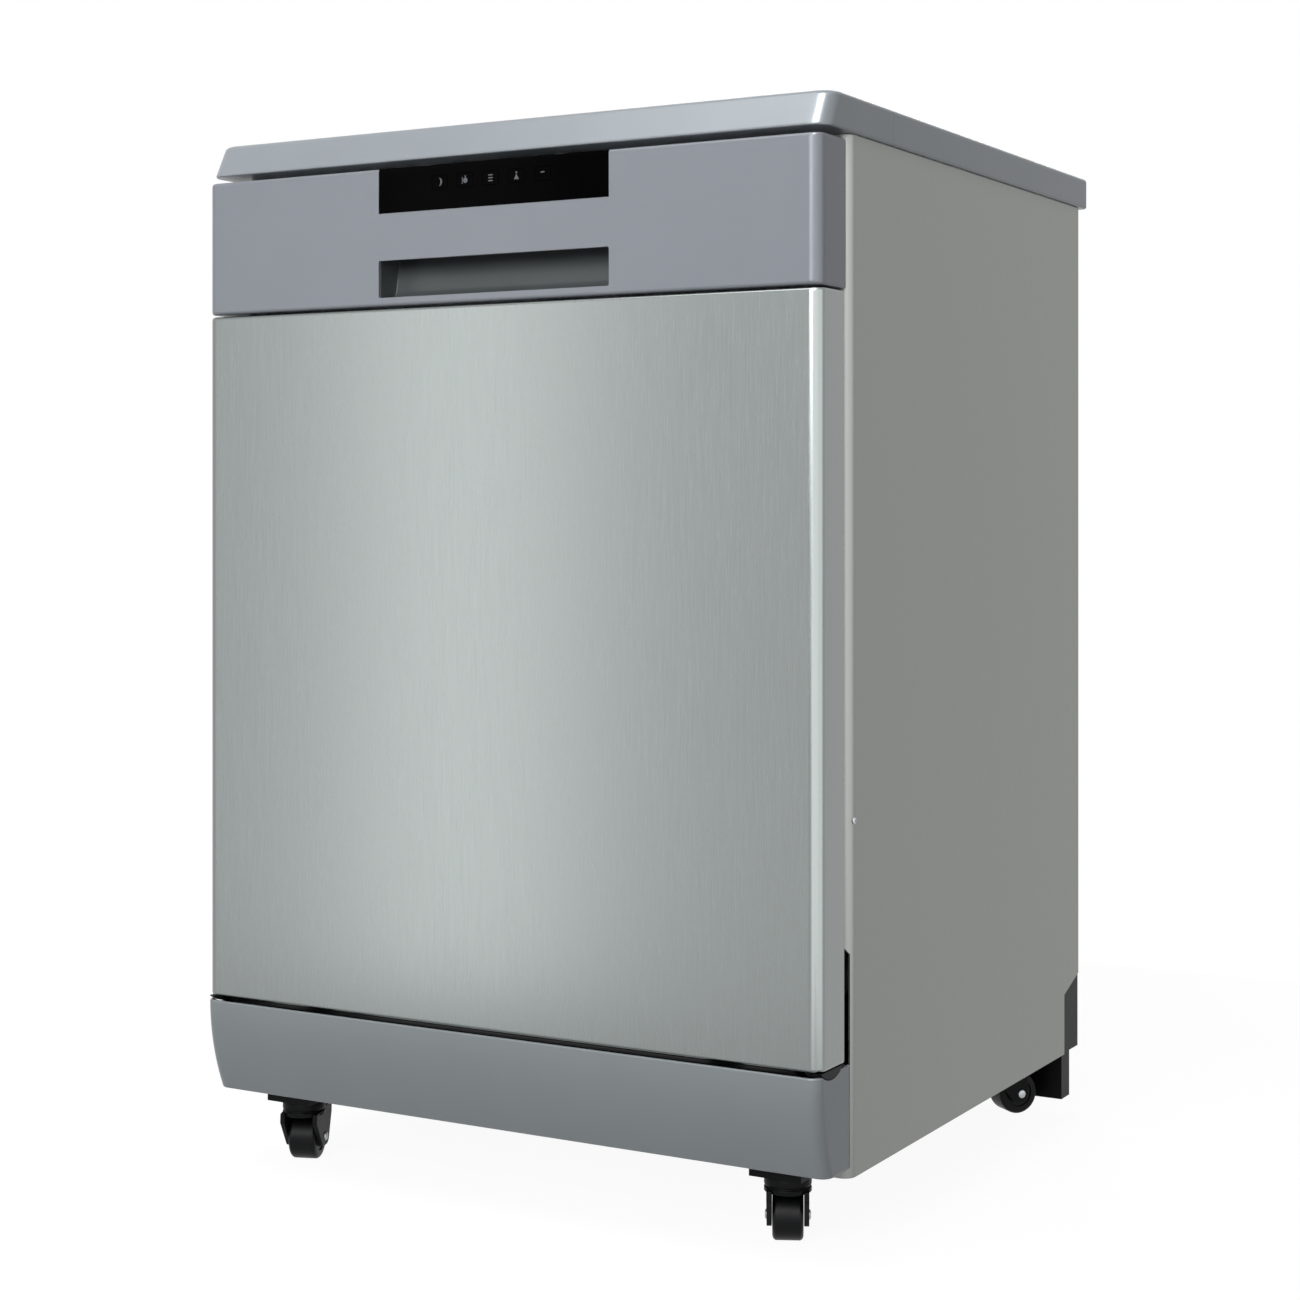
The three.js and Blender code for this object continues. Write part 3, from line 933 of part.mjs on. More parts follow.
function upperRack() {
  piece('upper_rack', 'coated_wire', rackWires(upperRackZ, UPPER_RACK_HEIGHT, {
    across: 8, along: 6, tineRows: [{ x: -80, first: 1, lean: 10 }, { x: 80, first: 1, lean: -10 }],
  }));
  const outer = tubInner - FIT - TUB_SHEET - FIT;
  const [low, high] = [railZ + TUB_SHEET + FIT, railZ + RAIL_HEIGHT - TUB_SHEET - FIT];
  const slide = channel(outer, low, high, rackBack - 1 - FIT);
  const tabHigh = low + 10;
  const wallX = rackHalf - RACK_SLOPE * (upperRackZ + UPPER_RACK_HEIGHT - tabHigh) / UPPER_RACK_HEIGHT;
  const tabs = SLIDE_TABS.map((y) => box(wallX + WIRE + FIT, outer - RAIL_DEPTH + 1, RACK_FRONT + y,
    RACK_FRONT + y + 26, low, tabHigh));
  piece('rack_slide_right', 'tub_steel', fuse(slide, tabs));
  piece('rack_slide_left', 'tub_steel', mirrored(fuse(slide, tabs)));

  const under = feedZ - 6;
  const collar = under - 2;
  const spindle = turned([[0, upperArmZ - 5], [11, upperArmZ - 5], [13, upperArmZ - FIT],
    [SPINDLE_RADIUS, upperArmZ - FIT], [SPINDLE_RADIUS, collar], [17, collar], [17, under + 2],
    [0, under + 2]], sumpCentre);
  piece('upper_feed_duct', 'grey_plastic', fuse(
    prism('y', rectangle(-13, 13, under, feedZ + 6, 3), centreY - 18, rackBack + 2, { steps: 2 }), spindle));
  sprayArm('upper_spray_arm', UPPER_ARM_LENGTH, upperArmZ, 'grey_plastic');
}

function lowerRack() {
  const half = rackHalf;
  const loopX = half - 8;
  const axleZ = trackTop + FIT + RACK_WHEEL_RADIUS;
  const axles = [RACK_FRONT + RACK_WHEEL_FRONT, rackBack - RACK_WHEEL_REAR];
  const legs = axles.flatMap((y) => both(wire([[loopX, y, lowerRackZ], [loopX, y, axleZ],
    [loopX + RACK_WHEEL_WIDTH + 5, y, axleZ]], 2.5)));
  piece('lower_rack', 'coated_wire', fuse(rackWires(lowerRackZ, LOWER_RACK_HEIGHT, {
    across: 8, along: 6, tineRows: [{ x: -160, first: 0, lean: 0 }, { x: -20, first: 3, lean: 0 },
      { x: 120, first: 3, lean: 0 }],
  }), legs));

  axles.forEach((y, n) => [-1, 1].forEach((side) => {
    const x = side * (loopX + 3 + RACK_WHEEL_WIDTH / 2);
    const w = RACK_WHEEL_WIDTH / 2;
    const wheel = rod('x', [y, axleZ], RACK_WHEEL_RADIUS, x - w, x + w, { sides: 20 })
      .subtract(rod('x', [y, axleZ], 2.5 + FIT + 0.1, x - w - 1, x + w + 1, { sides: 12 }));
    piece(`rack_wheel_${n ? 'rear' : 'front'}_${side < 0 ? 'left' : 'right'}`, 'grey_plastic', wheel);
  }));

  // Cutlery basket: bays with slotted walls and a bail across the middle.
  const [x0, y0, z0] = [-BASKET_WIDTH / 2, RACK_FRONT + 14, lowerRackZ + WIRE + FIT];
  const [y1, z1, middle] = [y0 + BASKET_DEPTH, z0 + BASKET_HEIGHT, y0 + BASKET_DEPTH / 2];
  const pitch = (BASKET_WIDTH - BASKET_WALL) / BASKET_BAYS;
  const bayWidth = pitch - BASKET_WALL;
  const bays = Array.from({ length: BASKET_BAYS }, (_, n) => {
    const start = x0 + BASKET_WALL + n * pitch;
    const bay = box(start, start + bayWidth, y0 + BASKET_WALL, y1 - BASKET_WALL,
      z0 + BASKET_WALL, z1 + 1);
    const slots = [0.25, 0.75].map((share) => box(start + bayWidth * share - 12,
      start + bayWidth * share + 12, y0 - 1, y1 + 1, z0 + 16, z1 - 16));
    return fuse(bay, slots);
  });
  const body = box(x0, -x0, y0, y1, z0, z1).subtract(fuse(bays));
  const arch = (inset, low, high, corner) => [[-BAIL_HALF + inset, low], [BAIL_HALF - inset, low],
    [BAIL_HALF - 5 - inset, high, corner], [5 - BAIL_HALF + inset, high, corner]];
  const bail = prism('y', arch(0, z1 - 4, z1 + BAIL_RISE, 10),
    middle - BAIL_THICK / 2, middle + BAIL_THICK / 2)
    .subtract(prism('y', arch(BAIL_THICK, z1 + 2, z1 + BAIL_RISE - BAIL_THICK, 7), y0, y1));
  const webHalf = bayWidth / 2 + BASKET_WALL;
  const web = box(-webHalf, webHalf, middle - 1.5, middle + 1.5, z0 + 1, z1);
  piece('cutlery_basket', 'grey_plastic', fuse(body, web, bail));
  sprayArm('lower_spray_arm', LOWER_ARM_LENGTH, lowerArmZ, 'grey_plastic');
}

// ---------------------------------------------------------------- the whole machine
worktop();
sidePanels();
backPanel();
frontCrossbar();
kickPlate();
basePan();
baseRearHousing();
casters();
tub();
sump();
doorPanels();
handleInsert();
windowAndKeys();
doorLiner();
detergentDispenser();
upperRack();
lowerRack();

export default machine;
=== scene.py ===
import json
import math

import bmesh
import bpy
from mathutils import Matrix, Vector


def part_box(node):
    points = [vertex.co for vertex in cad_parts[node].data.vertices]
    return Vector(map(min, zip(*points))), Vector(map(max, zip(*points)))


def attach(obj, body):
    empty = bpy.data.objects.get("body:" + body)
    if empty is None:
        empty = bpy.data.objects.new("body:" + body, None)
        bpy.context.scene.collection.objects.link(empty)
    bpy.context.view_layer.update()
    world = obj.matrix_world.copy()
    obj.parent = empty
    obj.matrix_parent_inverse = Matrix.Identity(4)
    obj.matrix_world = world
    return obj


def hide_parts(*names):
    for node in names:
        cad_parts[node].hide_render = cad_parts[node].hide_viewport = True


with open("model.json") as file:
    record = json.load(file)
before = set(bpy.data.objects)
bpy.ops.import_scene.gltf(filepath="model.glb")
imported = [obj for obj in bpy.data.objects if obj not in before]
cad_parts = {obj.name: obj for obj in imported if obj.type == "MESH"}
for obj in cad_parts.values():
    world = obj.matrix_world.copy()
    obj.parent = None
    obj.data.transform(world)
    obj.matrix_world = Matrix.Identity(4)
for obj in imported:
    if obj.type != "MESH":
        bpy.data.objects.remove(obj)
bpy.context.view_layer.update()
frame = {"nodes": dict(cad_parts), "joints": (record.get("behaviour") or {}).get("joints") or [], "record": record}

bl_info = {
    "name": "Portable dishwasher",
    "version": (1, 0, 0),
    "blender": (4, 5, 0),
    "location": "3D View > Sidebar > Dishwasher",
    "description": "Dresses the packed model of a dishwasher on casters and sets up its picture",
    "category": "Object",
}

MM = 0.001
# How far the door's face lies in front of the origin, in mm.
BACK = round(-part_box("door_panel")[0].y / MM, 3)


# ---------------- sizes and colours that a user may change
def srgb(code):
    """A linear colour from a #rrggbb code."""
    parts = [int(code[i:i + 2], 16) / 255 for i in (1, 3, 5)]
    return tuple(c / 12.92 if c <= 0.04045 else ((c + 0.055) / 1.055) ** 2.4 for c in parts)


def length(name, about, default):
    """A size whose default is given in mm."""
    return bpy.props.FloatProperty(name=name, description=about, default=default * MM,
                                   min=0.0, precision=4, unit="LENGTH")


def colour(name, about, code):
    """A colour whose default is given as #rrggbb."""
    return bpy.props.FloatVectorProperty(name=name, description=about, default=srgb(code),
                                         size=3, min=0.0, max=1.0, subtype="COLOR")


class DishwasherSizes(bpy.types.PropertyGroup):
    """Sizes of the pieces that the frame doesn't give"""
    corner: length("Front corners", "Radius of the upright corners of door, panel and kick plate", 10)
    worktop_corner: length("Worktop corners", "Radius of the worktop's front corners", 18)
    worktop_lean: length("Worktop lean", "How far the worktop's front leans back over its height", 15)
    sheet: length("Steel sheet", "Thickness of the steel sheets", 1.2)
    wall: length("Plastic wall", "Wall thickness of the plastic mouldings", 2.5)
    grip_height: length("Grip height", "Height of the hand grip's opening", 31.3)
    grip_depth: length("Grip depth", "Depth of the hand grip at its roof", 33)
    wire: length("Rack wire", "Radius of the racks' thin wires", 2.1)
    rim_wire: length("Rim wire", "Radius of the wires round a rack's rim and base", 2.8)
    rack_slope: length("Rack slope", "How far a rack's walls lean out over their height", 8)


class DishwasherColours(bpy.types.PropertyGroup):
    """Colours of the finishes that show most"""
    steel: colour("Door steel", "Brushed steel of the door", "#818685")
    sides: colour("Side panels", "Metallic paint of the side panels", "#797b78")
    panel: colour("Control panel", "Silver plastic of the control panel", "#8b8f96")
    worktop: colour("Worktop frame", "Silver plastic round the worktop", "#979da2")
    kick: colour("Kick plate", "Silver plastic of the kick plate", "#8d9396")
    grip: colour("Hand grip", "Plastic inside the hand grip", "#585d5e")
    black: colour("Black plastic", "Plastic of the base and the casters", "#0c0d0e")
    window: colour("Window", "Glossy black of the window and the keys", "#020203")


class Sizes:
    """The sizes as they are set now, in mm."""

    def __getattr__(self, name):
        return round(getattr(bpy.context.scene.dishwasher_sizes, name) / MM, 4)


SIZE = Sizes()


# ---------------- what the frame gives
def at(x, y, z):
    """A point given in mm, with y counted from the door's face, in the part's frame."""
    return Vector((x * MM, (y - BACK) * MM, z * MM))


def pivot(joint):
    """A point on a joint's axis, in mm, with y counted from the door's face."""
    x, y, z = next(row["pos_m"] for row in frame["joints"] if row["name"] == joint)
    return round(x / MM, 4), round(y / MM + BACK, 4), round(z / MM, 4)


class Span:
    """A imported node's box in mm, with y counted from the door's face."""

    def __init__(self, node):
        low, high = (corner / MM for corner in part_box(node))
        self.x0, self.x1 = low.x, high.x
        self.y0, self.y1 = low.y + BACK, high.y + BACK
        self.z0, self.z1 = low.z, high.z


# ---------------- sizes that the frame doesn't give, in mm
FIT = 0.3               # gap between pieces that touch
EDGE = 3                # radius of the edges round the front of the door's shells
WORKTOP_RIM = 30        # width of the frame round the board, and width and height of its ledge
WORKTOP_LEDGE = 8
WORKTOP_EDGES = (2.2, 3.5)      # radius of the frame's lower and upper edges
WORKTOP_CHAMFER = 0.8   # on its edge round the board
GRIP_HALF = 113         # half the width of the hand grip's opening
GRIP_LIP = 7            # from the panel's lower edge up to the opening
GRIP_CORNER = 1.5       # radius of the opening's corners
GRIP_FLOOR = 24         # depth at the opening's foot
GRIP_HOOK = 14          # height of the hollow behind the opening's upper edge
GRIP_WALL = 2.2
WINDOW_RECESS = 6.5     # depth of the panel's opening for the window
KEY_SEAT = (3.8, 6.2)   # front and back of the plate round the keys
MARK_THICK = 0.06       # print on the keys, and how far it sinks in
MARK_SINK = 0.02
LINER_HALF = 276        # room that the door's shells leave for its liner: half its width, and its front
LINER_FRONT = 27
HINGE_PIN = 8           # the tub's hinge pins reach this far past their brackets
SLOT_FRONT = 8          # the door's slots for these brackets start this far behind its face
SLOT_INSIDE, SLOT_OUTSIDE = 5, 4        # and reach this far to each side of a bracket's outer face
LIP_REACH = 30.2        # from the hinge line to the lip under the door
LIP_SWING = 40          # its arc goes this many degrees to each side
LIP_HALF = 299          # half its width
LIP_DEPTH, LIP_DROP = 50, 21    # the slots' cuts through it: their depth, and their reach below the skin
SWEEP = 30.9            # radius of its room in the kick plate's sides, and that room's faces
SWEEP_INNER, SWEEP_OUTER = 286, 301
KICK_SETBACK = 18       # the kick plate's lower edge lies this far behind its upper one
KICK_RETURN = 54.7      # depth of its sides
KICK_FLANGE = (288.5, 299)      # faces of the flange at the rear end of each side
KICK_BEND = 1.2         # radius of its lower and upper edges
KICK_STEPS = 12         # rows of faces up its curved front
LUG_X, LUG_HALF, LUG_DROP, LUG_THICK = 200, 15, 26, 4   # the lugs that hold it
PANEL_FOLD = 22         # width of the side panels' folded edges
BASE_NOTCH = (42, 57, 73)       # at a side panel's rear corner: depth, height in front and behind
HINGE_NOTCH = (4, 84, 175, 183)     # at its front: depth, foot, top behind and in front
SCREW_Z = 339           # height of the screws, and how far they sit behind the panel's front
SCREW_INSET = 8
CASTER_TURN = {"front_left": 20, "front_right": 26, "rear_left": 35, "rear_right": -38}     # degrees
CASTER_HEAD = 19        # radius of the fork's head
WHEEL = 20              # radius of the wheel
TRAIL = 10              # from the swivel line to the wheel's axle
CHEEK_INNER, CHEEK_OUTER = 12.9, 17     # faces of the fork's cheeks
FORK_LOW, FORK_TOP = 2 * WHEEL + 2, 55.7        # underside and top of the fork's head
STEM, STEM_TOP = 6.7, 62        # radius and top of its stem
PEDAL_Y, PEDAL_Z = CASTER_HEAD + 5, FORK_LOW + 2    # the brake pedal's pin
PEDAL_HALF = 12.6       # half its width
RACK_CORNER = 28        # radius of the corners of a rack's rim and base
RACK_MARGIN = 20        # from the rim to the rows of wires
RACK_ROWS = (16, 12)    # wires from side to side, and from front to back
TINE = 62               # height of the wires between plates
UPPER_RACK_DEPTH = 120  # from rim to base
LOWER_RACK_DEPTH = 142
AXLE_WIRE = 2.5         # radius of the wires that carry the rollers


# ---------------- shader building
class Value:
    """A node's output that takes arithmetic."""

    def __init__(self, graph, socket):
        self.graph, self.socket = graph, socket

    def __add__(self, other):
        return self.graph.node("ShaderNodeMath", {"operation": "ADD"}, self, other).out()

    __radd__ = __add__

    def ramp(self, low, high, start=0.0, end=1.0):
        """The value moved from start..end to low..high, and held there."""
        return self.graph.node("ShaderNodeMapRange", {"clamp": True}, self, start, end, low, high).out()


class Node:
    """A node of a graph."""

    def __init__(self, graph, node):
        self.graph, self.node = graph, node

    def out(self, name=0):
        """One of its outputs, by name or by number."""
        return Value(self.graph, self.node.outputs[name])


class Graph:
    """The nodes of a material or of the world."""

    def __init__(self, owner):
        owner.use_nodes = True
        self.tree = owner.node_tree
        self.tree.nodes.clear()

    def feed(self, socket, value):
        """Links a node or a value to a socket, or sets a plain value on it."""
        if isinstance(value, Node):
            value = value.out()
        if isinstance(value, Value):
            self.tree.links.new(value.socket, socket)
            return
        if isinstance(value, tuple) and len(value) == 3 and socket.type == "RGBA":
            value = (*value, 1.0)
        socket.default_value = value

    def node(self, kind, settings=None, *inputs, **named):
        """Adds one node: its type and settings first, then its inputs."""
        made = self.tree.nodes.new(kind)
        for key, value in (settings or {}).items():
            setattr(made, key, value)
        shown = [s for s in made.inputs if s.enabled]
        for socket, value in zip(shown, inputs):
            self.feed(socket, value)
        for key, value in named.items():
            self.feed(next(s for s in shown if s.name == key.replace("_", " ")), value)
        return Node(self, made)

    def background_share(self):
        """1 for the rays that show the background itself, 0 for those that light the object."""
        ray = self.node("ShaderNodeLightPath")
        return ray.out("Is Camera Ray") + ray.out("Is Glossy Ray") + ray.out("Is Transmission Ray")


class Shader(Graph):
    """A material with its Principled node."""

    def __init__(self, name, **constants):
        self.material = bpy.data.materials.new(name)
        super().__init__(self.material)
        self.principled = self.node("ShaderNodeBsdfPrincipled")
        self.output = self.node("ShaderNodeOutputMaterial", None, self.principled)
        for key, value in constants.items():
            self.set(key.replace("_", " "), value)

    def set(self, name, value):
        """Feeds one input of the Principled node."""
        self.feed(self.principled.node.inputs[name.title().replace("Ior", "IOR")], value)

    def place(self, scale=(1.0, 1.0, 1.0)):
        """The object's own coordinates, in mm, stretched by scale."""
        here = self.node("ShaderNodeTexCoord").out("Object")
        return self.node("ShaderNodeVectorMath", {"operation": "MULTIPLY"},
                         here, tuple(1000 * s for s in scale)).out()

    def noise(self, size, detail=2, stretch=(1, 1, 1), roughness=0.5):
        """Noise with features of about this many mm, stretched along the axes."""
        where = self.place(tuple(1 / s for s in stretch))
        return self.node("ShaderNodeTexNoise", None, Vector=where, Scale=1 / size,
                         Detail=detail, Roughness=roughness).out()

    def mix(self, share, first, second):
        """A colour between two others."""
        return self.node("ShaderNodeMix", {"data_type": "RGBA"},
                         Factor=share, A=first, B=second).out(2)

    def bump(self, height, depth):
        """Raises the surface by height times depth mm."""
        self.set("normal", self.node("ShaderNodeBump", None, Strength=1.0,
                                     Distance=depth * MM, Height=height))


# ---------------- materials
MATERIALS = {}


def shade(colour, spread):
    """The colour made darker and lighter by a small share."""
    return tuple(c * (1 - spread) for c in colour), tuple(min(1.0, c * (1 + spread)) for c in colour)


def plastic(name, base, rough=0.45, grain=0.5, depth=0.02, spread=0.03, shine=0.15, flake=0.0):
    """Moulded plastic: its grain and the grain's depth are in mm, spread is the share by which its
    lightness wanders, and flake is the share of metal flake in silver paint."""
    s = Shader(name, metallic=flake, roughness=rough, specular_ior_level=shine)
    s.set("base color", s.mix(s.noise(60, 3).ramp(0, 1, 0.35, 0.65), *shade(base, spread)))
    s.set("roughness", s.noise(25, 3).ramp(rough - 0.03, rough + 0.03, 0.2, 0.8))
    s.bump(s.noise(grain), depth)
    MATERIALS[name] = s.material


def brushed(name, base, rough, pull, depth, spread=0.03, grain=0.35):
    """Metal with a fine upright grain, in mm, that is pull times as long as it is wide."""
    s = Shader(name, metallic=1.0, roughness=rough)
    streaks = s.noise(grain, 3, (1, 1, pull), 0.6)
    s.set("base color", s.mix(streaks.ramp(0, 1, 0.3, 0.7), *shade(base, spread)))
    s.set("roughness", streaks.ramp(rough - 0.04, rough + 0.05, 0.25, 0.75))
    s.bump(streaks, depth)
    MATERIALS[name] = s.material


def laminate(name):
    """The speckled board of the worktop."""
    s = Shader(name, roughness=0.5)
    s.set("base color", s.mix(s.noise(0.9).ramp(0, 1, 0.4, 0.62), srgb("#8f9191"), srgb("#a5a7a6")))
    s.bump(s.noise(0.6), 0.02)
    MATERIALS[name] = s.material


def galvanised(name):
    """Zinc with its pale flakes, about 11 mm across."""
    s = Shader(name, metallic=1.0, roughness=0.5)
    flakes = s.node("ShaderNodeTexVoronoi", {"feature": "F1"}, Vector=s.place(), Scale=0.09)
    tone = s.node("ShaderNodeSeparateColor", None, flakes.out("Color")).out("Red")
    s.set("base color", s.mix(tone, srgb("#989c9f"), srgb("#a7abae")))
    s.set("roughness", tone.ramp(0.46, 0.54))
    s.bump(s.noise(3), 0.02)
    MATERIALS[name] = s.material


def make_materials():
    tint = bpy.context.scene.dishwasher_colours
    brushed("stainless", tint.steel, rough=0.24, pull=125, depth=0.003, spread=0.026)
    brushed("tub_steel", srgb("#bcbec0"), rough=0.24, pull=50, depth=0.003)
    brushed("painted_side", tint.sides, rough=0.42, pull=20, depth=0.002, spread=0.012, grain=0.8)
    plastic("silver_plastic", tint.panel, rough=0.32, grain=0.35, depth=0.004, spread=0.012,
            shine=0.2, flake=0.12)
    plastic("worktop_frame", tint.worktop, rough=0.32, depth=0.003, spread=0.012, shine=0.2, flake=0.12)
    plastic("kick_plastic", tint.kick, rough=0.34, grain=0.35, depth=0.004, spread=0.012,
            shine=0.25, flake=0.14)
    plastic("grip_plastic", tint.grip, rough=0.3, grain=0.35, depth=0.008, shine=0.3)
    plastic("black_plastic", tint.black, rough=0.42, depth=0.03, spread=0.06, shine=0.08)
    plastic("gloss_black", tint.window, rough=0.12, grain=3.0, depth=0.0005, spread=0.2, shine=0.01)
    plastic("grey_plastic", srgb("#9da0a5"), rough=0.5, grain=0.6)
    plastic("white_plastic", srgb("#d7d8d8"), grain=0.6, spread=0.02)
    plastic("rubber_seal", srgb("#1b1c1f"), rough=0.75, grain=0.4, depth=0.03, spread=0.1, shine=0.2)
    plastic("coated_wire", srgb("#a7aaae"), grain=0.8, depth=0.03, spread=0.04)
    plastic("caster_tread", srgb("#0d0e10"), rough=0.4, grain=0.7, depth=0.04, spread=0.1, shine=0.12)
    plastic("print", srgb("#6b6d72"), rough=0.5, grain=0.4, depth=0.004, spread=0.05, shine=0.1)
    laminate("laminate")
    galvanised("galvanised")


# ---------------- outlines
def outline(corners, steps=8):
    """Corners (a, b, radius) in order, each rounded by an arc of this many steps."""
    points = []
    for i, (a, b, radius) in enumerate(corners):
        here = Vector((a, b))
        if radius <= 0:
            points.append((a, b))
            continue
        back = (Vector(corners[i - 1][:2]) - here).normalized()
        ahead = (Vector(corners[(i + 1) % len(corners)][:2]) - here).normalized()
        half = back.angle(ahead) / 2
        centre = here + (back + ahead).normalized() * (radius / math.sin(half))
        start = here + back * (radius / math.tan(half))
        turn = (math.pi - 2 * half) * (1 if ahead.x * back.y - ahead.y * back.x > 0 else -1)
        for k in range(steps + 1):
            arm = start - centre
            arm.rotate(Matrix.Rotation(turn * k / steps, 2))
            points.append(tuple(centre + arm))
    return points


def arc(radius, steps=5):
    """Offsets (along, up) of a rounded edge, from its low side to its top."""
    return [(radius * (1 - math.cos(a)), radius * math.sin(a) - radius)
            for a in (math.pi / 2 * k / steps for k in range(steps + 1))]


def section(low, high, below, above):
    """Pairs (inset, z) up a wall whose bottom and top edges are rounded."""
    return ([(inset, low - up) for inset, up in reversed(arc(below))]
            + [(inset, high + up) for inset, up in arc(above)])


def horseshoe(half, front, end, radius, steps=10):
    """Points (x, y) from the left end, round the front corners, to the right end."""
    bends = outline([(-half, end, 0), (-half, front, radius), (half, front, radius), (half, end, 0)], steps)
    return [(-half, end), *bends[1:-1], (half, end)]


def flat(points, z):
    """Points (x, y) set at one height."""
    return [(x, y, z) for x, y in points]


# ---------------- building meshes
ALONG = {"x": lambda a, b, c: (c, a, b), "y": lambda a, b, c: (a, c, b), "z": lambda a, b, c: (a, b, c)}


class Form:
    """A mesh in the making. Its points are in mm, with y counted from the door's face."""

    def __init__(self, place=None):
        self.bm = bmesh.new()
        self.place = place

    def point(self, x, y, z):
        here = at(x, y, z) if self.place is None else self.place @ Vector((x * MM, y * MM, z * MM))
        return self.bm.verts.new(here)

    def loft(self, rows, wrap=False, ring=False):
        """Faces between rows of points; wrap closes each row, ring joins the last to the first."""
        made = [[self.point(*p) for p in row] for row in rows]
        for a, b in list(zip(made, made[1:])) + ([(made[-1], made[0])] if ring else []):
            for i in range(len(a) - (0 if wrap else 1)):
                j = (i + 1) % len(a)
                self.bm.faces.new((a[i], a[j], b[j], b[i]))
        return made

    def cap(self, verts):
        self.bm.faces.new(verts)

    def block(self, x0, x1, y0, y1, z0, z1):
        return self.prism("z", [(x0, y0), (x1, y0), (x1, y1), (x0, y1)], z0, z1)

    def prism(self, axis, points, start, end):
        """A closed outline drawn along an axis."""
        rows = self.loft([[ALONG[axis](a, b, c) for a, b in points] for c in (start, end)], wrap=True)
        self.cap(rows[0][::-1])
        self.cap(rows[1])
        return self

    def turn(self, profile, centre=(0, 0, 0), axis="z", steps=32, closed=False):
        """A turned shape: profile points are (radius, distance along the axis)."""
        rows = []
        for r, h in profile:
            ring = [(max(r, 1e-4) * math.cos(t), max(r, 1e-4) * math.sin(t), h)
                    for t in (2 * math.pi * k / steps for k in range(steps))]
            rows.append([tuple(c + o for c, o in zip(centre, ALONG[axis](*p))) for p in ring])
        self.loft(rows, wrap=True, ring=closed)
        return self

    def carve(self, cutter):
        """Takes the cutter's solids away."""
        mine, theirs = self.scratch("body"), cutter.scratch("cutter")
        cut = mine.modifiers.new("cut", "BOOLEAN")
        cut.object, cut.operation, cut.solver = theirs, "DIFFERENCE", "EXACT"
        graph = bpy.context.evaluated_depsgraph_get()
        result = bpy.data.meshes.new_from_object(mine.evaluated_get(graph))
        self.bm = bmesh.new()
        self.bm.from_mesh(result)
        for obj in (mine, theirs):
            bpy.data.objects.remove(obj)
        bpy.data.meshes.remove(result)
        return self

    def scratch(self, name):
        """The mesh so far, as an object in the scene."""
        obj = bpy.data.objects.new(name, self.mesh(name))
        bpy.context.scene.collection.objects.link(obj)
        return obj

    def mesh(self, name):
        bmesh.ops.remove_doubles(self.bm, verts=self.bm.verts, dist=2e-6)
        bmesh.ops.dissolve_degenerate(self.bm, edges=self.bm.edges, dist=1e-6)
        bmesh.ops.recalc_face_normals(self.bm, faces=self.bm.faces)
        mesh = bpy.data.meshes.new(name)
        self.bm.to_mesh(mesh)
        self.bm.free()
        return mesh

    def piece(self, name, material, body, *replaced, bevel=0.0, segments=2, angle=32):
        """The finished piece: it rides on its body and stands for the CAD nodes it replaces."""
        obj = self.scratch(name)
        obj.data.materials.append(MATERIALS[material])
        for polygon in obj.data.polygons:
            polygon.use_smooth = True
        obj.data.set_sharp_from_angle(angle=math.radians(35))
        soften(obj, bevel, segments, angle)
        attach(obj, body)
        if replaced:
            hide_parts(*replaced)


def blocks(*sizes):
    """Several blocks, each given as x0, x1, y0, y1, z0, z1."""
    form = Form()
    for size in sizes:
        form.block(*size)
    return form


def soften(obj, width, segments=2, angle=32):
    """Rounds the edges sharper than angle degrees and shades the rest smooth."""
    if width:
        bevel = obj.modifiers.new("bevel", "BEVEL")
        bevel.width = width * MM
        bevel.segments = segments
        bevel.limit_method = "ANGLE"
        bevel.angle_limit = math.radians(angle)
        bevel.use_clamp_overlap = True
    obj.modifiers.new("normals", "WEIGHTED_NORMAL").keep_sharp = True


def dress(node, material):
    """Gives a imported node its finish, merges its flat facets and rounds its edges."""
    obj = frame["nodes"][node]
    obj.data.materials.clear()
    obj.data.materials.append(MATERIALS[material])
    for polygon in obj.data.polygons:
        polygon.use_smooth = True
    merge = obj.modifiers.new("flat", "DECIMATE")
    merge.decimate_type = "DISSOLVE"
    merge.angle_limit = math.radians(1)
    soften(obj, 0.4)


# ---------------- worktop
def worktop_ring(name, node, face, opening, end, corner, lean=0.0):
    """Half of the frame round the board: face and opening are its y outside and inside."""
    part = Span(node)
    inward = math.copysign(1, opening - face)
    inner = part.x1 - WORKTOP_RIM
    shelf = part.z0 + WORKTOP_LEDGE - FIT
    rows = []
    for inset, z in section(part.z0, part.z1, *WORKTOP_EDGES):
        slant = lean * (z - part.z0) / (part.z1 - part.z0)
        rows.append(flat(horseshoe(part.x1 - inset, face + slant + inward * inset, end,
                                   corner - inset), z))
    for reach, z in ((-WORKTOP_CHAMFER, part.z1), (0, part.z1 - WORKTOP_CHAMFER), (0, shelf),
                     (WORKTOP_LEDGE, shelf), (WORKTOP_LEDGE, part.z0)):
        rows.append(flat(horseshoe(inner - reach, opening + inward * reach, end, 0.4), z))
    form = Form()
    made = form.loft(rows, ring=True)
    for side in (0, -1):
        form.cap([row[side] for row in made])
    form.piece(name, "worktop_frame", "cabinet", node)


def make_worktop():
    """The front trim, whose face leans back, and the rest of the frame."""
    trim, rear = Span("worktop_front_trim"), Span("worktop_rear_frame")
    front = trim.y0 + SIZE.worktop_lean
    worktop_ring("worktop_trim", "worktop_front_trim", trim.y0, front + WORKTOP_RIM, trim.y1,
                 SIZE.worktop_corner, SIZE.worktop_lean)
    worktop_ring("worktop_frame_rear", "worktop_rear_frame", rear.y1, rear.y1 - WORKTOP_RIM,
                 trim.y1 + FIT, SIZE.worktop_corner / 3)


